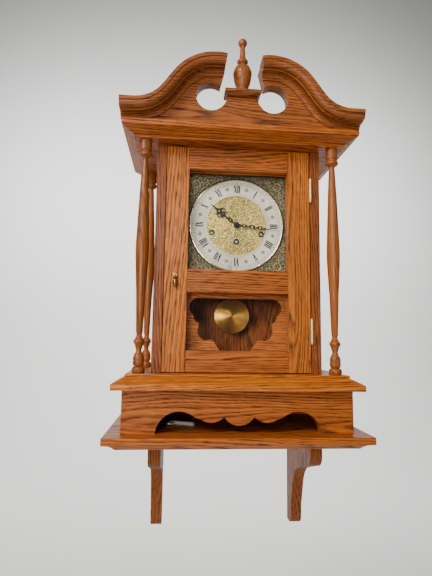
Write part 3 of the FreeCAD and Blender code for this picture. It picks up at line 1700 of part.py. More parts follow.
def make_key():
    """The winding key, lying on the shelf inside the base."""
    lobes, holes = [], []
    for name, side in (("a", -1), ("b", 1)):
        lobes.append(rod_z(f"bow_{name}", 0, 8.5 * side, size(-1.2), size(1.2), 9.5))
        holes.append(rod_z(f"bow_hole_{name}", 0, 9.5 * side, size(-2), size(2), 5.2))
    stem = rod_x("key_stem", size(0), size(0), size(-2.0), size(44.0), 3.4)
    square = (size(-1.95), size(1.95))
    socket = block("key_socket", (size(30.0), size(45.0)), square, square)
    bow = carve("key_bow", join("key_lobes", *lobes), *holes)
    key = carve("winding_key", join("key_blank", bow, stem), socket)
    turn(key, (0, 0, 1), -25.6)
    return place(key, -112.0, -118.0, shelf_top + 3.4)


for part in make_gongs():
    keep(part)
keep(make_hammers())
keep(make_key())


# ---------------------------------------------------------------- check and export
doc.recompute()
failed = [item.Label for item in doc.Objects if {"Invalid", "Error"} & set(item.State)]
for piece in pieces:
    shape = piece.Shape
    if shape.isNull() or not shape.isValid() or shape.Volume <= 0:
        failed.append(piece.Label)
if failed:
    raise RuntimeError("failed objects: " + ", ".join(failed))
if len({piece.Label for piece in pieces}) != len(pieces):
    raise RuntimeError("two sub-parts share a name")

os.makedirs("parts", exist_ok=True)
for piece in pieces:
    piece.Shape.exportStep(f"parts/{piece.Label}.step")
    print(f"{piece.Label:24s} {len(piece.Shape.Solids)} solids {piece.Shape.Volume / 1000:9.2f} cm3")
print(len(pieces), "nodes")
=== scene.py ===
"""Looks of the pillared oak wall clock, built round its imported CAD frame."""

import json
import math
import random

import bmesh
import bpy
from mathutils import Matrix, Vector


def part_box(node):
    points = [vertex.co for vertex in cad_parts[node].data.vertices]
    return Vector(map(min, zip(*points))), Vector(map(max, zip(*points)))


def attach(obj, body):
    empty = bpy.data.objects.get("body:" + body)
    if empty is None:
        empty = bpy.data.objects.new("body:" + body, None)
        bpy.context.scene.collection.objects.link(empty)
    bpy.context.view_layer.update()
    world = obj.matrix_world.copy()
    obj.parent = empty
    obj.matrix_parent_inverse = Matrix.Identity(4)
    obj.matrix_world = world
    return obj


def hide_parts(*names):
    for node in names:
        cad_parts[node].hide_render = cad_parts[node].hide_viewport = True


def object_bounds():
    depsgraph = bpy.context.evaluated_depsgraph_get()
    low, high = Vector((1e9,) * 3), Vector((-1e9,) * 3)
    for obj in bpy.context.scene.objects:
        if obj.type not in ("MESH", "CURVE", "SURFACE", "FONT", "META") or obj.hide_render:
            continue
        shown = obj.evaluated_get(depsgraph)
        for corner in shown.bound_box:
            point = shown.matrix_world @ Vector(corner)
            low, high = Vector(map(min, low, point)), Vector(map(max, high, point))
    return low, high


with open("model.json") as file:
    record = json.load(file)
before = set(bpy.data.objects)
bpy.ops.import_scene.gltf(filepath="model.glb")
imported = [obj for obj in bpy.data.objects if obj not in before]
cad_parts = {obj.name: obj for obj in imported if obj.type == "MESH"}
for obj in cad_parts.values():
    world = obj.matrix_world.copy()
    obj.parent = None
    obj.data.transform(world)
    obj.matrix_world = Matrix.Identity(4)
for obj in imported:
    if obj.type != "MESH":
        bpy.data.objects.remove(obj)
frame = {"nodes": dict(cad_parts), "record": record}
CAD_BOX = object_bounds()
NODES = frame["nodes"]
RECORD = frame["record"]
BODY_OF = {node: body for body, members in RECORD["behaviour"]["bodies"].items() for node in members}
SLOT_OF = {part["node"]: part["material_slot"] for part in RECORD["subparts"]}
MM = 0.001
random.seed(11)


# ---------------------------------------------------------------- places read from the frame
ring_low, ring_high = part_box("chapter_ring")
DIAL = (ring_low + ring_high) / 2
DIAL_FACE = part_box("dial_plate")[0].y
RING_OUTER = 85.0 * MM
RING_FACE = DIAL_FACE - 1.6 * MM
BEZEL_OUTER = (ring_high.x - ring_low.x) / 2


# ---------------------------------------------------------------- colours and shaders
def display(red, green, blue):
    """Scene-linear colour from 8-bit display values."""
    def channel(value):
        value /= 255.0
        return value / 12.92 if value <= 0.04045 else ((value + 0.055) / 1.055) ** 2.4
    return (channel(red), channel(green), channel(blue), 1.0)


class Shader:
    """A node tree with short ways to add and join its nodes."""

    def __init__(self, tree):
        self.tree = tree

    def node(self, kind, inputs=None, **settings):
        made = self.tree.nodes.new("ShaderNode" + kind)
        for key, value in settings.items():
            setattr(made, key, value)
        for key, value in (inputs or {}).items():
            self.feed(made.inputs[key], value)
        return made

    def feed(self, socket, value):
        if isinstance(value, bpy.types.NodeSocket):
            self.tree.links.new(value, socket)
        else:
            socket.default_value = value

    def place(self, shift=(0, 0, 0)):
        """The object's own coordinates in metres, shifted."""
        here = self.node("TexCoord").outputs["Object"]
        return self.node("Mapping", {"Vector": here, "Location": shift}).outputs[0]

    def stretch(self, vector, x, y, z):
        return self.node("VectorMath", {0: vector, 1: (x, y, z)}, operation="MULTIPLY").outputs[0]

    def noise(self, vector, scale, detail=2.0, roughness=0.5):
        inputs = {"Vector": vector, "Scale": scale, "Detail": detail, "Roughness": roughness}
        return self.node("TexNoise", inputs).outputs[0]

    def ring_noise(self, radius, scale):
        """Noise that changes with a radius only."""
        inputs = {"W": radius, "Scale": scale, "Detail": 2.0}
        return self.node("TexNoise", inputs, noise_dimensions="1D").outputs[0]

    def length(self, vector):
        return self.node("VectorMath", {0: vector}, operation="LENGTH").outputs["Value"]

    def blend(self, first, second, share):
        """Two greys added, the first by its share and the second by the rest."""
        rest = self.math("MULTIPLY", second, round(1.0 - share, 3))
        return self.math("ADD", self.math("MULTIPLY", first, share), rest)

    def math(self, operation, first, second=0.0, clamp=False):
        return self.node("Math", {0: first, 1: second}, operation=operation, use_clamp=clamp).outputs[0]

    def ramp(self, value, *stops):
        """A curve of grey: stops are (position, level)."""
        made = self.node("ValToRGB", {0: value})
        points = made.color_ramp.elements
        while len(points) < len(stops):
            points.new(0.5)
        for point, (position, level) in zip(points, stops):
            point.position = position
            point.color = (level, level, level, 1.0)
        return made.outputs[0]

    def mix(self, factor, first, second):
        return self.node("Mix", {0: factor, 6: first, 7: second}, data_type="RGBA").outputs[2]

    def bump(self, height, distance, strength=1.0):
        return self.node("Bump", {"Height": height, "Distance": distance, "Strength": strength}).outputs[0]


def surface(name, paint, **plain):
    """A Principled material: paint(shader) gives its textured sockets, and plain its even ones."""
    material = bpy.data.materials.new(name)
    material.use_nodes = True
    shader = Shader(material.node_tree)
    principled = material.node_tree.nodes["Principled BSDF"]
    sockets = dict(plain)
    sockets.update(paint(shader))
    for key, value in sockets.items():
        shader.feed(principled.inputs[key], value)
    return material


# ---------------------------------------------------------------- oak
RING_SPACING = 0.0034
PORES_EVERYWHERE = 0.34
PORES_IN_RINGS = 0.9


def oak_group():
    """Node group: the growth rings, open pores, ray flecks and tone of oak with its grain along Z."""
    tree = bpy.data.node_groups.new("oak_figure", "ShaderNodeTree")
    tree.interface.new_socket("Vector", in_out="INPUT", socket_type="NodeSocketVector")
    for name in ("Rings", "Pores", "Streaks", "Flecks", "Tone"):
        tree.interface.new_socket(name, in_out="OUTPUT", socket_type="NodeSocketFloat")
    shader = Shader(tree)
    here = tree.nodes.new("NodeGroupInput").outputs[0]
    out = tree.nodes.new("NodeGroupOutput")
    slow = shader.stretch(here, 9.0, 9.0, 1.5)
    warp = shader.node("TexNoise", {"Vector": slow, "Scale": 1.0, "Detail": 3.0, "Roughness": 0.55})
    swing = shader.node("VectorMath", {0: warp.outputs[1], 1: (0.5, 0.5, 0.5)}, operation="SUBTRACT")
    sway = shader.stretch(swing.outputs[0], 0.040, 0.040, 0.0)
    bent = shader.node("VectorMath", {0: here, 1: sway}, operation="ADD").outputs[0]
    across = shader.stretch(bent, 1.0, 1.0, 0.0)
    radius = shader.length(across)
    ring = shader.math("MULTIPLY", radius, 1 / RING_SPACING)
    spread = shader.ring_noise(radius, 70.0)
    ring = shader.math("ADD", ring, shader.math("MULTIPLY", spread, 2.6))
    share = shader.math("FRACT", ring)
    early_wood = ((0.0, 0.85), (0.07, 1.0), (0.26, 0.50), (0.48, 0.12), (0.82, 0.0), (1.0, 0.75))
    early = shader.ramp(share, *early_wood)
    fine = shader.noise(shader.stretch(bent, 1500.0, 1500.0, 55.0), 1.0, 1.0)
    coarse = shader.noise(shader.stretch(bent, 560.0, 560.0, 34.0), 1.0, 2.0)
    open_pore = shader.ramp(coarse, (0.52, 0.0), (0.60, 1.0))
    hair = shader.ramp(fine, (0.50, 0.0), (0.66, 1.0))
    gate = shader.math("MULTIPLY_ADD", early, PORES_IN_RINGS)
    gate.node.inputs[2].default_value = PORES_EVERYWHERE
    pits = shader.math("MAXIMUM", open_pore, shader.math("MULTIPLY", hair, 0.6))
    pores = shader.math("MULTIPLY", pits, gate, True)
    ray = shader.noise(shader.stretch(here, 95.0, 420.0, 26.0), 1.0, 1.0)
    flecks = shader.ramp(ray, (0.60, 0.0), (0.72, 1.0))
    long_noise = shader.noise(shader.stretch(bent, 330.0, 330.0, 9.0), 1.0, 3.0, 0.6)
    streaks = shader.ramp(long_noise, (0.44, 0.0), (0.66, 1.0))
    tone = shader.noise(shader.stretch(bent, 26.0, 26.0, 1.6), 1.0, 3.0)
    for socket, value in zip(out.inputs, (early, pores, streaks, flecks, tone)):
        shader.feed(socket, value)
    return tree


OAK = oak_group()
QUARTER_TURN = math.pi / 2
GRAIN_TURNS = {"z": (0, 0, 0), "x": (0, QUARTER_TURN, 0), "y": (QUARTER_TURN, 0, 0)}
LIGHT_OAK = (228, 126, 22)
DARK_OAK = (72, 27, 3)
RAY_TINT = (240, 170, 80)
PORE_DEPTH = 0.00022
VARNISH = {"Coat Weight": 0.12, "Coat Roughness": 0.25, "Specular IOR Level": 0.32}


def oak(node, grain, pith, light=LIGHT_OAK, dark=DARK_OAK, depth=1.0, gloss=0.47):
    """One board's own oak: its grain runs along an axis, and the pith lies beside the board's middle.

    pith gives that line's place along the two other axes, in millimetres from the middle.
    """
    low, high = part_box(node)
    heart = (low + high) / 2
    for axis, reach in zip([axis for axis in range(3) if "xyz"[axis] != grain], pith):
        heart[axis] += (reach + random.uniform(-6, 6)) * MM
    lean = [random.choice((-1, 1)) * random.uniform(0.015, 0.045) for _ in range(2)] + [0.0]
    along = random.uniform(-3, 3)
    shade = random.uniform(0.93, 1.07)

    def paint(shader):
        here = shader.node("TexCoord").outputs["Object"]
        about = shader.node("VectorMath", {0: here, 1: tuple(heart)}, operation="SUBTRACT").outputs[0]
        upright = shader.node("Mapping", {"Vector": about, "Rotation": GRAIN_TURNS[grain]}).outputs[0]
        tilted = {"Vector": upright, "Rotation": lean, "Location": (0, 0, along)}
        board = shader.node("Mapping", tilted).outputs[0]
        figure = shader.tree.nodes.new("ShaderNodeGroup")
        figure.node_tree = OAK
        shader.feed(figure.inputs[0], board)
        rings, pores, streaks, flecks, tone = figure.outputs
        pale = tuple(shade * part for part in display(*light)[:3]) + (1.0,)
        deep = tuple(shade * part for part in display(*dark)[:3]) + (1.0,)
        warm = shader.mix(shader.ramp(tone, (0.3, 0.0), (0.7, 1.0)), pale, shader.mix(0.30, pale, deep))
        ringed = shader.mix(shader.math("MULTIPLY", rings, 0.66 * depth), warm, deep)
        streaked = shader.mix(shader.math("MULTIPLY", streaks, 0.34 * depth), ringed, deep)
        ray = shader.mix(0.5, pale, display(*RAY_TINT))
        rayed = shader.mix(shader.math("MULTIPLY", flecks, 0.12), streaked, ray)
        pit = shader.mix(0.45, deep, (0.01, 0.004, 0.001, 1))
        colour = shader.mix(shader.math("MULTIPLY", pores, 0.88 * depth), rayed, pit)
        rough = shader.ramp(pores, (0.0, gloss), (1.0, min(1.0, gloss + 0.3)))
        sunk = shader.math("ADD", pores, shader.math("MULTIPLY", rings, 0.25))
        height = shader.math("SUBTRACT", 1.0, sunk)
        return {"Base Color": colour, "Roughness": rough, "Normal": shader.bump(height, PORE_DEPTH, 0.8)}

    return surface(f"oak_{node}", paint, **VARNISH)


# ---------------------------------------------------------------- metals, glass and the rest
def worn_metal(name, bright, dull, roughness=(0.2, 0.42), scale=60.0, streak=(1, 1, 1), **plain):
    """Metal whose tone and polish drift, with fine marks along its working direction."""
    def paint(shader):
        here = shader.place()
        cloud = shader.noise(here, scale, 4.0, 0.6)
        marks = shader.noise(shader.stretch(here, *[900.0 * part for part in streak]), 1.0, 2.0)
        blend = shader.blend(cloud, marks, 0.7)
        colour = shader.mix(shader.ramp(blend, (0.35, 0.0), (0.65, 1.0)), display(*bright), display(*dull))
        rough = shader.ramp(blend, (0.3, roughness[0]), (0.7, roughness[1]))
        return {"Base Color": colour, "Roughness": rough, "Normal": shader.bump(marks, 0.00003, 0.5)}
    settings = {"Metallic": 1.0}
    settings.update(plain)
    return surface(name, paint, **settings)


def spun_brass(name, centre, bright, dull):
    """Brass turned on a lathe about a centre: its fine rings draw the light out into two rays."""
    def paint(shader):
        here = shader.place(shift=(-centre.x, 0.0, -centre.z))
        flat = shader.stretch(here, 1.0, 0.0, 1.0)
        grooves = shader.ring_noise(shader.length(flat), 1600.0)
        cloud = shader.noise(here, 70.0, 3.0)
        blend = shader.blend(grooves, cloud, 0.6)
        colour = shader.mix(shader.ramp(blend, (0.35, 0.0), (0.65, 1.0)), display(*bright), display(*dull))
        tangent = shader.node("Tangent", direction_type="RADIAL", axis="Y").outputs[0]
        return {
            "Base Color": colour,
            "Roughness": shader.ramp(blend, (0.3, 0.30), (0.7, 0.42)),
            "Tangent": tangent,
            "Normal": shader.bump(grooves, 0.00002, 0.4),
        }
    return surface(name, paint, **{"Metallic": 1.0, "Anisotropic": 0.92, "Anisotropic Rotation": 0.25})


def matted_gilt(name, centre):
    """The gilt dial centre: punched all over with a fine mat, strewn with painted glints, and engraved with
    faint vines.
    """
    def paint(shader):
        here = shader.place(shift=(-centre.x, 0.0, -centre.z))
        flat = shader.stretch(here, 1.0, 0.0, 1.0)
        punch = shader.node("TexVoronoi", {"Vector": flat, "Scale": 1400.0}, feature="F1")
        fleck = shader.node("TexVoronoi", {"Vector": flat, "Scale": 640.0}, feature="F1")
        tint = shader.node("SeparateColor", {0: fleck.outputs["Color"]}).outputs[0]
        vine = shader.noise(flat, 95.0, 3.0, 0.45)
        engraved = shader.ramp(vine, (0.40, 0.0), (0.47, 1.0), (0.53, 1.0), (0.60, 0.0))
        cloud = shader.noise(flat, 28.0, 2.0)
        gilt = shader.mix(cloud, display(250, 222, 130), display(208, 172, 84))
        dull = shader.math("MULTIPLY", shader.ramp(tint, (0.6, 0.0), (0.95, 1.0)), 0.8)
        speck = shader.mix(dull, gilt, display(96, 80, 40))
        # Painted glints: pale gold flecks, standing in for sparkles of light off the mat.
        bright = shader.math("MULTIPLY", shader.ramp(tint, (0.08, 1.0), (0.3, 0.0)), 0.75)
        painted_glint = shader.mix(bright, speck, display(255, 244, 176))
        colour = shader.mix(shader.math("MULTIPLY", engraved, 0.22), painted_glint, display(120, 92, 40))
        height = shader.math("ADD", punch.outputs["Distance"], shader.math("MULTIPLY", tint, 0.8))
        tangent = shader.node("Tangent", direction_type="RADIAL", axis="Y").outputs[0]
        return {
            "Base Color": colour,
            "Roughness": shader.ramp(tint, (0.0, 0.24), (1.0, 0.5)),
            "Tangent": tangent,
            "Normal": shader.bump(height, 0.00016, 0.8),
        }
    return surface(name, paint, **{"Metallic": 0.8, "Anisotropic": 0.8, "Anisotropic Rotation": 0.25})


def silvered(name, centre):
    """Silvered brass with a fine circular brushing."""
    def paint(shader):
        here = shader.place(shift=(-centre.x, 0.0, -centre.z))
        flat = shader.stretch(here, 1.0, 0.0, 1.0)
        brush = shader.ring_noise(shader.length(flat), 1900.0)
        cloud = shader.noise(flat, 45.0, 4.0)
        blend = shader.blend(brush, cloud, 0.4)
        aged = shader.ramp(blend, (0.35, 0.0), (0.7, 1.0))
        colour = shader.mix(aged, display(255, 250, 232), display(240, 231, 208))
        return {"Base Color": colour, "Roughness": shader.ramp(blend, (0.3, 0.36), (0.7, 0.52)),
                "Normal": shader.bump(brush, 0.00002, 0.4)}
    return surface(name, paint, **{"Metallic": 0.0})


def antique_cast(name, crest, floor, fleck_and_glint_share):
    """Dark cast brass whose raised parts are painted lighter, as rubbed wear and as a painted highlight,
    with bright flecks that are partly a pattern and partly painted glints.
    """
    def paint(shader):
        here = shader.place()
        depth = shader.node("SeparateXYZ", {0: here}).outputs[1]
        rise = shader.node("MapRange", {"Value": depth, "From Min": floor, "From Max": crest}).outputs[0]
        grit = shader.noise(here, 700.0, 3.0, 0.6)
        raised = shader.ramp(rise, (0.25, 0.0), (0.95, 1.0))
        # Raised parts painted lighter: partly rubbed wear, partly a painted highlight on the crests.
        crest_wear_and_painted_highlight = shader.math("MULTIPLY", raised, shader.ramp(grit, (0.3, 0.35), (0.6, 1.0)))
        motif = shader.noise(here, 380.0, 4.0, 0.75)
        # Bright flecks: a fleck pattern in the casting, which on the corner castings also stands for painted
        # glints.
        flecks_and_painted_glints = shader.math("MULTIPLY", shader.ramp(motif, (0.51, 0.0), (0.57, 1.0)), fleck_and_glint_share)
        toned = shader.mix(grit, display(46, 42, 33), display(96, 88, 68))
        dark = shader.mix(flecks_and_painted_glints, toned, display(206, 196, 146))
        colour = shader.mix(crest_wear_and_painted_highlight, dark, display(226, 208, 150))
        return {"Base Color": colour, "Roughness": shader.ramp(crest_wear_and_painted_highlight, (0.0, 0.62), (1.0, 0.34)),
                "Normal": shader.bump(grit, 0.00012, 0.6)}
    return surface(name, paint, **{"Metallic": 0.5})


def painted(name, light, dark, roughness, grain=500.0, **plain):
    """An even paint or print with a faint texture."""
    def paint(shader):
        grit = shader.noise(shader.place(), grain, 3.0)
        colour = shader.mix(grit, display(*light), display(*dark))
        rough = shader.ramp(grit, (0.3, roughness), (0.7, min(1.0, roughness + 0.15)))
        return {"Base Color": colour, "Roughness": rough, "Normal": shader.bump(grit, 0.00004, 0.5)}
    return surface(name, paint, **plain)


def blackened_end(name, bright, dull, edge):
    """Brass whose front end, forward of an edge, is a blackened nut."""
    def paint(shader):
        here = shader.place()
        depth = shader.node("SeparateXYZ", {0: here}).outputs[1]
        black = shader.math("LESS_THAN", depth, edge)
        cloud = shader.noise(here, 200.0, 3.0)
        metal = shader.mix(cloud, display(*bright), display(*dull))
        ink = shader.mix(cloud, display(20, 20, 20), display(36, 35, 33))
        return {"Base Color": shader.mix(black, metal, ink),
                "Metallic": shader.math("SUBTRACT", 1.0, black),
                "Roughness": shader.ramp(cloud, (0.3, 0.24), (0.7, 0.4))}
    return surface(name, paint)


GLASS_IOR = 1.5


def window_glass(name):
    """Thin clear glass: what is behind it shows, and only its front faces mirror the room.

    Light is not bent here, so a back face would otherwise mirror everything seen at a slant.
    """
    material = bpy.data.materials.new(name)
    material.use_nodes = True
    shader = Shader(material.node_tree)
    material.node_tree.nodes.remove(material.node_tree.nodes["Principled BSDF"])
    smear = shader.noise(shader.place(), 16.0, 4.0, 0.6)
    clear = shader.node("BsdfTransparent", {"Color": (0.99, 0.995, 0.992, 1.0)})
    haze = shader.ramp(smear, (0.45, 0.02), (0.8, 0.09))
    mirror = shader.node("BsdfGlossy", {"Color": (1, 1, 1, 1), "Roughness": haze})
    back = shader.node("NewGeometry").outputs["Backfacing"]
    slant = shader.node("Fresnel", {"IOR": GLASS_IOR}).outputs[0]
    share = shader.math("MULTIPLY", slant, shader.math("SUBTRACT", 1.0, back))
    both = shader.node("MixShader", {0: share, 1: clear.outputs[0], 2: mirror.outputs[0]})
    shader.feed(material.node_tree.nodes["Material Output"].inputs["Surface"], both.outputs[0])
    return material


# ---------------------------------------------------------------- making pieces
def finish_piece(piece, body, materials):
    """Give a piece its materials and its body."""
    piece.data.materials.clear()
    for material in materials:
        piece.data.materials.append(material)
    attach(piece, body)
    return piece


def object_from(name, mesh, angle=30.0):
    """A linked object from a bmesh, smooth up to the given edge angle."""
    data = bpy.data.meshes.new(name)
    mesh.to_mesh(data)
    mesh.free()
    data.polygons.foreach_set("use_smooth", [True] * len(data.polygons))
    data.set_sharp_from_angle(angle=math.radians(angle))
    piece = bpy.data.objects.new(name, data)
    bpy.context.scene.collection.objects.link(piece)
    return piece


def shaped(node, material, ease=0.0, angle=30.0, name=None, chosen=None):
    """A finer copy of a CAD node that stands for it: welded, with its edges eased by a small round."""
    mesh = bmesh.new()
    mesh.from_mesh(NODES[node].data)
    bmesh.ops.remove_doubles(mesh, verts=mesh.verts, dist=0.000002)
    if chosen:
        bmesh.ops.delete(mesh, geom=[face for face in mesh.faces if not chosen(face)], context="FACES")
    bmesh.ops.dissolve_limit(mesh, angle_limit=math.radians(0.5), verts=mesh.verts, edges=mesh.edges)
    piece = object_from(name or f"{node}_shaped", mesh, 180.0 if ease else angle)
    if ease:
        rounding = piece.modifiers.new("eased_edges", "BEVEL")
        rounding.width = ease
        rounding.segments = 2
        rounding.limit_method = "ANGLE"
        rounding.angle_limit = math.radians(angle)
        rounding.use_clamp_overlap = False
        weights = piece.modifiers.new("flat_faces", "WEIGHTED_NORMAL")
        weights.mode = "FACE_AREA"
    finish_piece(piece, BODY_OF[node], [material])
    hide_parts(node)
    return piece


def prism(mesh, outline, front, back):
    """Add an upright plate: an outline of (x, z) points between two depths."""
    near = [mesh.verts.new((x, front, z)) for x, z in outline]
    far = [mesh.verts.new((x, back, z)) for x, z in outline]
    mesh.faces.new(near)
    mesh.faces.new(list(reversed(far)))
    for index in range(len(outline)):
        following = (index + 1) % len(outline)
        mesh.faces.new((near[following], near[index], far[index], far[following]))


def tube(mesh, path, flatten=1.0, sides=6):
    """Add a round strip along (x, y, z, radius) points, flattened in depth, with closed ends."""
    rings = []
    for index, (x, y, z, radius) in enumerate(path):
        before, after = path[max(index - 1, 0)], path[min(index + 1, len(path) - 1)]
        run = Vector((after[0] - before[0], 0.0, after[2] - before[2])).normalized()
        side = Vector((-run.z, 0.0, run.x))
        ring = []
        for step in range(sides):
            turn = 2 * math.pi * step / sides
            offset = side * (radius * math.cos(turn)) + Vector((0, radius * flatten * math.sin(turn), 0))
            ring.append(mesh.verts.new(Vector((x, y, z)) + offset))
        rings.append(ring)
    for first, second in zip(rings, rings[1:]):
        for step in range(sides):
            following = (step + 1) % sides
            mesh.faces.new((first[step], first[following], second[following], second[step]))
    mesh.faces.new(list(reversed(rings[0])))
    mesh.faces.new(rings[-1])


# ---------------------------------------------------------------- dial printing
def on_dial(radius, hours, across=0.0):
    """The (x, z) point at a radius and clock position, moved sideways by across."""
    turn = math.radians(30.0 * hours)
    out = Vector((math.sin(turn), math.cos(turn)))
    side = Vector((math.cos(turn), -math.sin(turn)))
    spot = Vector((DIAL.x, DIAL.z)) + out * radius + side * across
    return spot.x, spot.y


THICK = 2.3 * MM
THIN = 1.1 * MM
TALL = 14.6 * MM
FOOT = 62.4 * MM
SERIF = 0.55 * MM


def stroke(low, high, width, foot=0.0, head=TALL):
    """The four corners of a stroke from low to high, across the numeral."""
    half = width / 2
    return [(low - half, foot), (low + half, foot), (high + half, head), (high - half, head)]


def letter_strokes(letter):
    """Width and strokes of one Roman letter, from its left edge."""
    if letter == "I":
        width = 3.1 * MM
        middle = width / 2
        strokes = [stroke(middle, middle, THICK)]
        serifs = [(middle, 3.1 * MM, 0.0), (middle, 3.1 * MM, TALL - SERIF)]
    elif letter == "V":
        width = 6.2 * MM
        strokes = [stroke(3.1 * MM, 1.1 * MM, THICK), stroke(3.2 * MM, 5.4 * MM, THIN)]
        serifs = [(1.1 * MM, 2.9 * MM, TALL - SERIF), (5.3 * MM, 2.1 * MM, TALL - SERIF)]
    else:
        width = 6.4 * MM
        strokes = [stroke(5.3 * MM, 1.2 * MM, THICK), stroke(1.1 * MM, 5.4 * MM, THIN)]
        serifs = [
            (middle, 2.4 * MM, foot)
            for middle in (1.2 * MM, 5.3 * MM)
            for foot in (0.0, TALL - SERIF)
        ]
    strokes += [stroke(middle, middle, wide, foot, foot + SERIF) for middle, wide, foot in serifs]
    return width, strokes


def make_numerals(material):
    """The twelve Roman hours, their feet towards the centre."""
    mesh = bmesh.new()
    words = ["I", "II", "III", "IIII", "V", "VI", "VII", "VIII", "IX", "X", "XI", "XII"]
    for hour, word in enumerate(words, 1):
        letters = [letter_strokes(letter) for letter in word]
        start = -sum(width for width, _ in letters) / 2
        for width, strokes in letters:
            for corners in strokes:
                outline = [on_dial(FOOT + up, hour, start + along) for along, up in corners]
                prism(mesh, outline, RING_FACE - 0.14 * MM, RING_FACE)
            start += width
    return finish_piece(object_from("dial_numerals", mesh), "root", [material])


def flat_ring(mesh, inner, outer, front, back, steps=144):
    """Add a flat ring about the dial's centre."""
    corners = []
    for step in range(steps):
        turn = 12.0 * step / steps
        corners.append([
            mesh.verts.new((x, y, z))
            for radius, y in ((inner, front), (outer, front), (outer, back), (inner, back))
            for x, z in [on_dial(radius, turn)]
        ])
    for first, second in zip(corners, corners[1:] + corners[:1]):
        for side in range(4):
            following = (side + 1) % 4
            mesh.faces.new((first[side], second[side], second[following], first[following]))


TRACK_CIRCLES = (60.2 * MM, 78.6 * MM, 82.4 * MM)
TRACK_LINE = 0.38 * MM
MARK_FOOT = 78.8 * MM
MARK_HEAD = 82.5 * MM
FLOWER_RADIUS = 70.6 * MM
PETALS = 8


def make_minute_track(material):
    """Sixty minute marks between two circles, and a fine circle inside the hours."""
    mesh = bmesh.new()
    front, back = RING_FACE - 0.12 * MM, RING_FACE
    for inner in TRACK_CIRCLES:
        flat_ring(mesh, inner, inner + TRACK_LINE, front, back)
    for minute in range(60):
        half = (0.55 if minute % 5 == 0 else 0.2) * MM
        hour = minute / 5
        prism(mesh, [
            on_dial(MARK_FOOT, hour, -half), on_dial(MARK_FOOT, hour, half),
            on_dial(MARK_HEAD, hour, half), on_dial(MARK_HEAD, hour, -half),
        ], front, back)
    return finish_piece(object_from("minute_track", mesh), "root", [material])


def make_hour_ornaments(material):
    """A small engraved flower at each half hour."""
    mesh = bmesh.new()
    front, back = RING_FACE - 0.1 * MM, RING_FACE
    for hour in range(12):
        at = hour + 0.5
        for petal in range(PETALS):
            turn = 2 * math.pi * petal / PETALS
            long = (5.0 if petal % 2 == 0 else 3.2) * MM
            wide = 1.0 * MM
            reach = [(0.5 * MM, 0.0), (0.55 * long, wide), (long, 0.0), (0.55 * long, -wide)]
            outline = []
            for out, side in reach:
                up = out * math.cos(turn) - side * math.sin(turn)
                across = out * math.sin(turn) + side * math.cos(turn)
                outline.append(on_dial(FLOWER_RADIUS + up, at, across))
            prism(mesh, outline, front, back)
    return finish_piece(object_from("hour_ornaments", mesh), "root", [material])


def scroll(x, z, start_radius, end_radius, start, turns, thick, steps=22):
    """A spiral strip in one corner's own axes, thinning towards its eye."""
    points = []
    for step in range(steps + 1):
        share = step / steps
        radius = start_radius + (end_radius - start_radius) * share
        turn = math.radians(start + 360.0 * turns * share)
        points.append((x + radius * math.cos(turn), z + radius * math.sin(turn), thick * (1 - 0.55 * share)))
    return points


def corner_strips():
    """Scrolls of one corner casting: (x, z, radius) in mm from the corner, inwards along both sides."""
    strips = [
        scroll(20.0, 20.0, 9.0, 1.6, 225.0, 0.9, 1.15),
        scroll(10.5, 10.5, 6.0, 1.2, 45.0, 0.8, 1.0),
        scroll(35.0, 10.5, 6.6, 1.2, 150.0, -1.15, 0.95),
        scroll(50.5, 7.6, 4.6, 0.9, 170.0, -1.1, 0.8),
        scroll(62.0, 5.6, 3.0, 0.6, 190.0, -1.05, 0.6),
        scroll(26.0, 4.8, 3.0, 0.6, 20.0, 1.0, 0.7),
        scroll(43.5, 3.6, 2.2, 0.5, 30.0, 0.9, 0.55),
        scroll(29.5, 19.0, 3.4, 0.7, 200.0, -0.9, 0.7),
    ]
    mirrored = [[(z, x, radius) for x, z, radius in strip] for strip in strips]
    leaf = [[(2.5 + step * 1.5, 2.5 + step * 1.5, 1.1 - 0.03 * step) for step in range(12)]]
    return strips + mirrored + leaf


def make_filigree(material):
    """Scrollwork on the four corner castings."""
    mesh = bmesh.new()
    low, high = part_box("spandrels")
    half = (high.x - low.x) / 2
    crest = low.y
    for x_side in (-1, 1):
        for z_side in (-1, 1):
            for strip in corner_strips():
                path = []
                for x, z, radius in strip:
                    spot = Vector((half - x * MM, half - z * MM))
                    if spot.length < BEZEL_OUTER + 0.8 * MM:
                        continue
                    path.append((DIAL.x + x_side * spot.x, crest, DIAL.z + z_side * spot.y, radius * MM))
                if len(path) > 2:
                    tube(mesh, path, 0.8)
    bmesh.ops.recalc_face_normals(mesh, faces=mesh.faces)
    return finish_piece(object_from("corner_scrollwork", mesh, 60.0), "root", [material])


# ---------------------------------------------------------------- materials of this clock
black_print = painted("black_print", (22, 21, 20), (40, 38, 35), 0.45)
grey_print = painted("engraving_wax", (122, 126, 130), (94, 98, 104), 0.6)
hand_black = painted("hand_black", (16, 16, 17), (32, 31, 30), 0.32, 300.0, **{"Coat Weight": 0.3})
BRIGHT_BRASS = (226, 190, 112)
DULL_BRASS = (170, 128, 60)
brass = worn_metal("lacquered_brass", BRIGHT_BRASS, DULL_BRASS, (0.16, 0.34), 90.0)
# Painted highlight: the hinges are painted far paler than brass, standing in for the light they catch.
hinge_brass_painted_pale = worn_metal(
    "hinge_brass_with_painted_highlight", (255, 238, 186), (226, 196, 130), (0.22, 0.4), 120.0, Metallic=0.7)
pull_brass = worn_metal("antique_pull_brass", (196, 162, 92), (92, 68, 34), (0.2, 0.42), 160.0)
brass_plate = worn_metal(
    "brushed_brass", (214, 184, 112), (176, 142, 78), (0.28, 0.44), 40.0, (0.05, 1, 1))
steel = worn_metal(
    "turned_steel", (206, 206, 204), (156, 157, 158), (0.2, 0.38), 120.0, (1, 1, 0.1), Metallic=0.7)
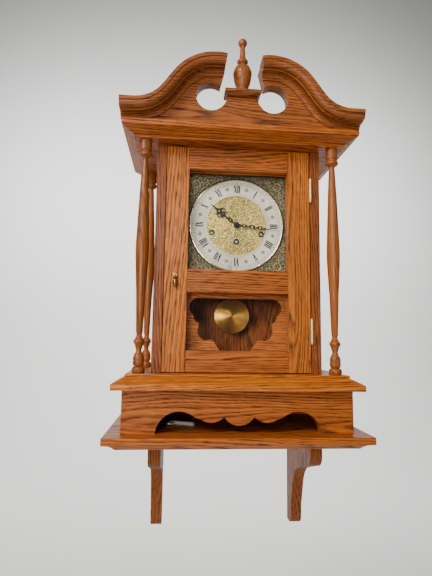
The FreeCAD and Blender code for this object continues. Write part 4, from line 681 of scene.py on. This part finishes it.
# Painted highlight: the winding squares are painted pale and made barely metallic, standing in for the light
# off their ends.
winding_ends_painted_pale = worn_metal(
    "winding_squares_painted_highlight", (244, 236, 214), (206, 196, 172), (0.3, 0.5), 200.0, Metallic=0.2)
# Nickel painted paler and less metallic than the plating, partly its own colour and partly a painted
# highlight on the key.
nickel = worn_metal("nickel_plate_with_painted_highlight", (244, 243, 240), (214, 212, 206), (0.16, 0.3), 140.0, Metallic=0.5)
bezel_brass = worn_metal("pale_bezel_brass", (250, 236, 196), (226, 204, 150), (0.18, 0.32), 60.0)
iron = painted("gong_iron", (44, 44, 46), (26, 26, 28), 0.55, 220.0, Metallic=0.4)
glass = window_glass("window_glass")
arbor_brass = blackened_end("arbor_brass", BRIGHT_BRASS, DULL_BRASS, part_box("minute_hand")[0].y)
dial_brass = antique_cast("dial_plate_stipple", DIAL_FACE - 0.004, DIAL_FACE + 0.001, 0.35)
crest_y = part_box("spandrels")[0].y
antique = antique_cast("antique_castings", crest_y - 0.0009, crest_y + 0.0002, 0.75)
gilt = matted_gilt("matted_gilt", DIAL)
silver = silvered("silvered_ring", DIAL)
bob_low, bob_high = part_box("pendulum_bob")
bob_brass = spun_brass("spun_brass", (bob_low + bob_high) / 2, (236, 178, 84), (168, 112, 46))

# Oak looks: turned wood, oak inside the case painted lighter as painted light, boards painted darker as
# painted shade, and the crested boards, darker than the plain oak.
BROWNER = {"light": (170, 96, 36), "dark": (66, 28, 8), "gloss": 0.3, "depth": 0.6}
# Painted light: oak inside the case painted lighter, making up for the dim light in there.
INSIDE_PAINTED_LIGHT = {"light": (236, 130, 38), "dark": (112, 46, 9)}
# Painted shade: shelf, apron, crown and door rails painted darker, as if under shadow.
SHADED = {"light": (208, 108, 18), "dark": (62, 23, 3)}
# Painted shade: the case sides painted darker, as if turned away from the light.
CASE_SIDES_PAINTED_SHADE = {"light": (178, 92, 24), "dark": (62, 24, 4)}
CRESTED = {"light": (182, 98, 28), "dark": (62, 27, 8)}
# Painted shade: the brackets painted darker, as if in the shelf's shadow.
BRACKETS_PAINTED_SHADE = {"light": (178, 94, 22), "dark": (58, 22, 4), "gloss": 0.55}


# ---------------------------------------------------------------- the clock's pieces
BOARDS = [
    ("shelf_board", "x", (-54, 95), 1.0, SHADED),
    ("corbel_right", "z", (70, -40), 1.0, BRACKETS_PAINTED_SHADE),
    ("corbel_left", "z", (-70, -40), 1.0, BRACKETS_PAINTED_SHADE),
    ("base_apron", "x", (45, -28), 0.7, SHADED),
    ("base_frame", "y", (40, 60), 0.7, {}),
    ("base_board", "x", (-50, 90), 0.9, {}),
    ("case_side_right", "z", (60, -40), 0.8, CASE_SIDES_PAINTED_SHADE),
    ("case_side_left", "z", (-60, -40), 0.8, CASE_SIDES_PAINTED_SHADE),
    ("crown_board", "x", (-50, -90), 0.9, SHADED),
    ("pediment_board", "x", (50, -45), 0.8, CRESTED),
    ("swan_neck_right", "x", (50, -60), 0.5, CRESTED),
    ("swan_neck_left", "x", (50, -75), 0.5, CRESTED),
    ("plinth_cap", "x", (30, 60), 0.8, CRESTED),
    ("door_stile_left", "z", (34, 40), 0.8, {}),
    ("door_stile_right", "z", (-34, 44), 0.8, {}),
    ("door_rail_bottom", "x", (42, 30), 0.8, SHADED),
    ("door_rail_middle", "x", (38, -34), 0.8, SHADED),
    ("door_rail_top", "x", (44, 32), 0.8, SHADED),
    ("dial_panel", "x", (40, 70), 0.6, INSIDE_PAINTED_LIGHT),
    ("back_panel", "z", (70, 60), 0.4, INSIDE_PAINTED_LIGHT),
]
TURNINGS = [
    ("column_front_left", (24, 20)),
    ("column_front_right", (-22, 24)),
    ("rear_columns", (20, 26)),
    ("finial", (18, 20)),
]
for node, grain, pith, ease, looks in BOARDS:
    shaped(node, oak(node, grain, pith, **looks), ease * MM)
for node, pith in TURNINGS:
    shaped(node, oak(node, "z", pith, **BROWNER), angle=35.0)
NODES["glass_beads"].data.materials.clear()
NODES["glass_beads"].data.materials.append(oak("glass_beads", "x", (40, 40), **INSIDE_PAINTED_LIGHT))


def on_ring(face):
    """True on the silvered ring, and False on the raised rim round it."""
    spot = face.calc_center_median() - DIAL
    return math.hypot(spot.x, spot.z) < RING_OUTER - 0.01 * MM


shaped("chapter_ring", silver, chosen=on_ring, name="silver_ring")
shaped("chapter_ring", bezel_brass, chosen=lambda face: not on_ring(face), name="ring_bezel")
shaped("dial_centre", gilt, 0.15 * MM)
shaped("dial_plate", dial_brass, 0.2 * MM)
shaped("spandrels", antique, 0.4 * MM)
shaped("winding_grommets", hand_black)
shaped("hour_hand", hand_black, 0.18 * MM)
shaped("minute_hand", hand_black, 0.18 * MM)
shaped("pendulum_bob", bob_brass, angle=40.0)
shaped("pendulum_rod", steel, angle=40.0)
shaped("pull_drop", pull_brass, angle=45.0)
shaped("pull_rosette", pull_brass, angle=45.0)
shaped("hinge_leaves_case", hinge_brass_painted_pale, 0.12 * MM)
shaped("hinge_leaves_door", hinge_brass_painted_pale, 0.12 * MM)
shaped("winding_key", nickel, 0.3 * MM)
make_numerals(black_print)
make_minute_track(black_print)
make_hour_ornaments(grey_print)
make_filigree(antique)

SLOT_LOOKS = {
    "brass": brass, "brass_plate": brass_plate, "steel": steel, "iron": iron, "glass": glass,
    "nickel": nickel, "spun_brass": bob_brass, "black": hand_black, "antique": antique,
}
OWN_LOOKS = {
    "centre_arbor": arbor_brass,
    "winding_arbor_strike": winding_ends_painted_pale,
    "winding_arbor_going": winding_ends_painted_pale,
    "winding_arbor_chime": winding_ends_painted_pale,
}
for node, thing in NODES.items():
    look = OWN_LOOKS.get(node) or SLOT_LOOKS.get(SLOT_OF[node])
    if look and not thing.hide_render:
        thing.data.materials.clear()
        thing.data.materials.append(look)


# ---------------------------------------------------------------- floor, light and camera
FLOOR_DROP = 0.90
FLOOR_HALF = 9.0
FLOOR_FRONT = -9.0
BEND_RADIUS = 1.6
BACKDROP_TOP = 5.0
BACKDROP_DEPTH = 4.2
BEND_STEPS = 12
AMBIENT = 0.19
SEEN_WORLD = 0.66
WARM = (1.0, 0.97, 0.93)
CASE_LAMPS = [
    ("key", (-1.6, -2.1, 2.1), 1.1, 88.0, (1.0, 0.96, 0.90)),
    ("front", (-0.8, -2.6, 0.36), 0.45, 21.0, WARM),
    ("upper", (-0.3, -2.6, 1.0), 0.3, 9.0, WARM),
]
BACKDROP_LAMPS = [("backdrop_left", -1.6), ("backdrop_right", 1.6)]


def make_stage():
    """A wide pale floor well under the clock that curves up into a pale backdrop far behind it."""
    level = CAD_BOX[0].z - FLOOR_DROP
    profile = [(FLOOR_FRONT, level)]
    for step in range(BEND_STEPS + 1):
        turn = QUARTER_TURN * step / BEND_STEPS
        profile.append((
            BACKDROP_DEPTH - BEND_RADIUS + BEND_RADIUS * math.sin(turn),
            level + BEND_RADIUS * (1 - math.cos(turn)),
        ))
    profile.append((BACKDROP_DEPTH, BACKDROP_TOP))
    mesh = bmesh.new()
    sides = [[mesh.verts.new((x, y, z)) for y, z in profile] for x in (-FLOOR_HALF, FLOOR_HALF)]
    for index in range(len(profile) - 1):
        left, right = sides
        mesh.faces.new((left[index], right[index], right[index + 1], left[index + 1]))
    stage = object_from("studio_floor", mesh)
    stage.data.materials.append(painted("pale_floor", (232, 232, 230), (227, 227, 225), 0.85, 3.0))


def add_light(name, place, target, size, power, colour, spread=180.0):
    """A square soft light at place, aimed at target, within a spread in degrees."""
    lamp = bpy.data.lights.new(name, "AREA")
    lamp.size = size
    lamp.spread = math.radians(spread)
    lamp.energy = power
    lamp.color = colour
    thing = bpy.data.objects.new(name, lamp)
    thing.location = place
    thing.rotation_euler = (Vector(target) - Vector(place)).to_track_quat("-Z", "Y").to_euler()
    bpy.context.scene.collection.objects.link(thing)


def make_studio():
    """A broad key light from the upper left, two small front lamps, and two for the backdrop.

    The camera sees the world behind the backdrop brighter than the light it gives.
    """
    world = bpy.data.worlds.new("studio")
    world.use_nodes = True
    shader = Shader(world.node_tree)
    seen = shader.node("LightPath").outputs["Is Camera Ray"]
    spread = shader.node("MapRange", {"Value": seen, "To Min": AMBIENT, "To Max": SEEN_WORLD}).outputs[0]
    background = world.node_tree.nodes["Background"]
    background.inputs["Color"].default_value = display(232, 234, 238)
    shader.feed(background.inputs["Strength"], spread)
    bpy.context.scene.world = world
    middle = (CAD_BOX[0] + CAD_BOX[1]) / 2
    for name, place, size, power, colour in CASE_LAMPS:
        add_light(name, place, middle, size, power, colour)
    for name, x in BACKDROP_LAMPS:
        target = (x * 0.6, BACKDROP_DEPTH, 0.9)
        add_light(name, (x, 1.8, 2.2), target, 1.6, 118.0, (1.0, 1.0, 1.0), 170.0)


CAMERA_AT = Vector((-0.0988, -0.9205, 0.2046))
CAMERA_YAW = math.radians(4.55)
CAMERA_PITCH = math.radians(6.85)
CAMERA_ROLL = math.radians(0.84)
SENSOR = 36.0
FOCAL = 26.86


def make_camera():
    """A hand-held camera below the dial and left of the middle, looking slightly up."""
    ahead = Vector((
        math.sin(CAMERA_YAW) * math.cos(CAMERA_PITCH),
        math.cos(CAMERA_YAW) * math.cos(CAMERA_PITCH),
        math.sin(CAMERA_PITCH),
    ))
    level = Vector((math.cos(CAMERA_YAW), -math.sin(CAMERA_YAW), 0.0))
    upright = level.cross(ahead)
    right = level * math.cos(CAMERA_ROLL) + upright * math.sin(CAMERA_ROLL)
    up = upright * math.cos(CAMERA_ROLL) - level * math.sin(CAMERA_ROLL)
    lens = bpy.data.cameras.new("camera")
    lens.sensor_fit = "VERTICAL"
    lens.sensor_width = SENSOR
    lens.sensor_height = SENSOR
    lens.lens = FOCAL
    lens.clip_start = 0.01
    camera = bpy.data.objects.new("camera", lens)
    turn = Matrix((right, up, -ahead)).transposed().to_4x4()
    camera.matrix_world = Matrix.Translation(CAMERA_AT) @ turn
    bpy.context.scene.collection.objects.link(camera)
    bpy.context.scene.camera = camera


make_stage()
make_studio()
make_camera()


def corners(box):
    return [list(corner) for corner in box]
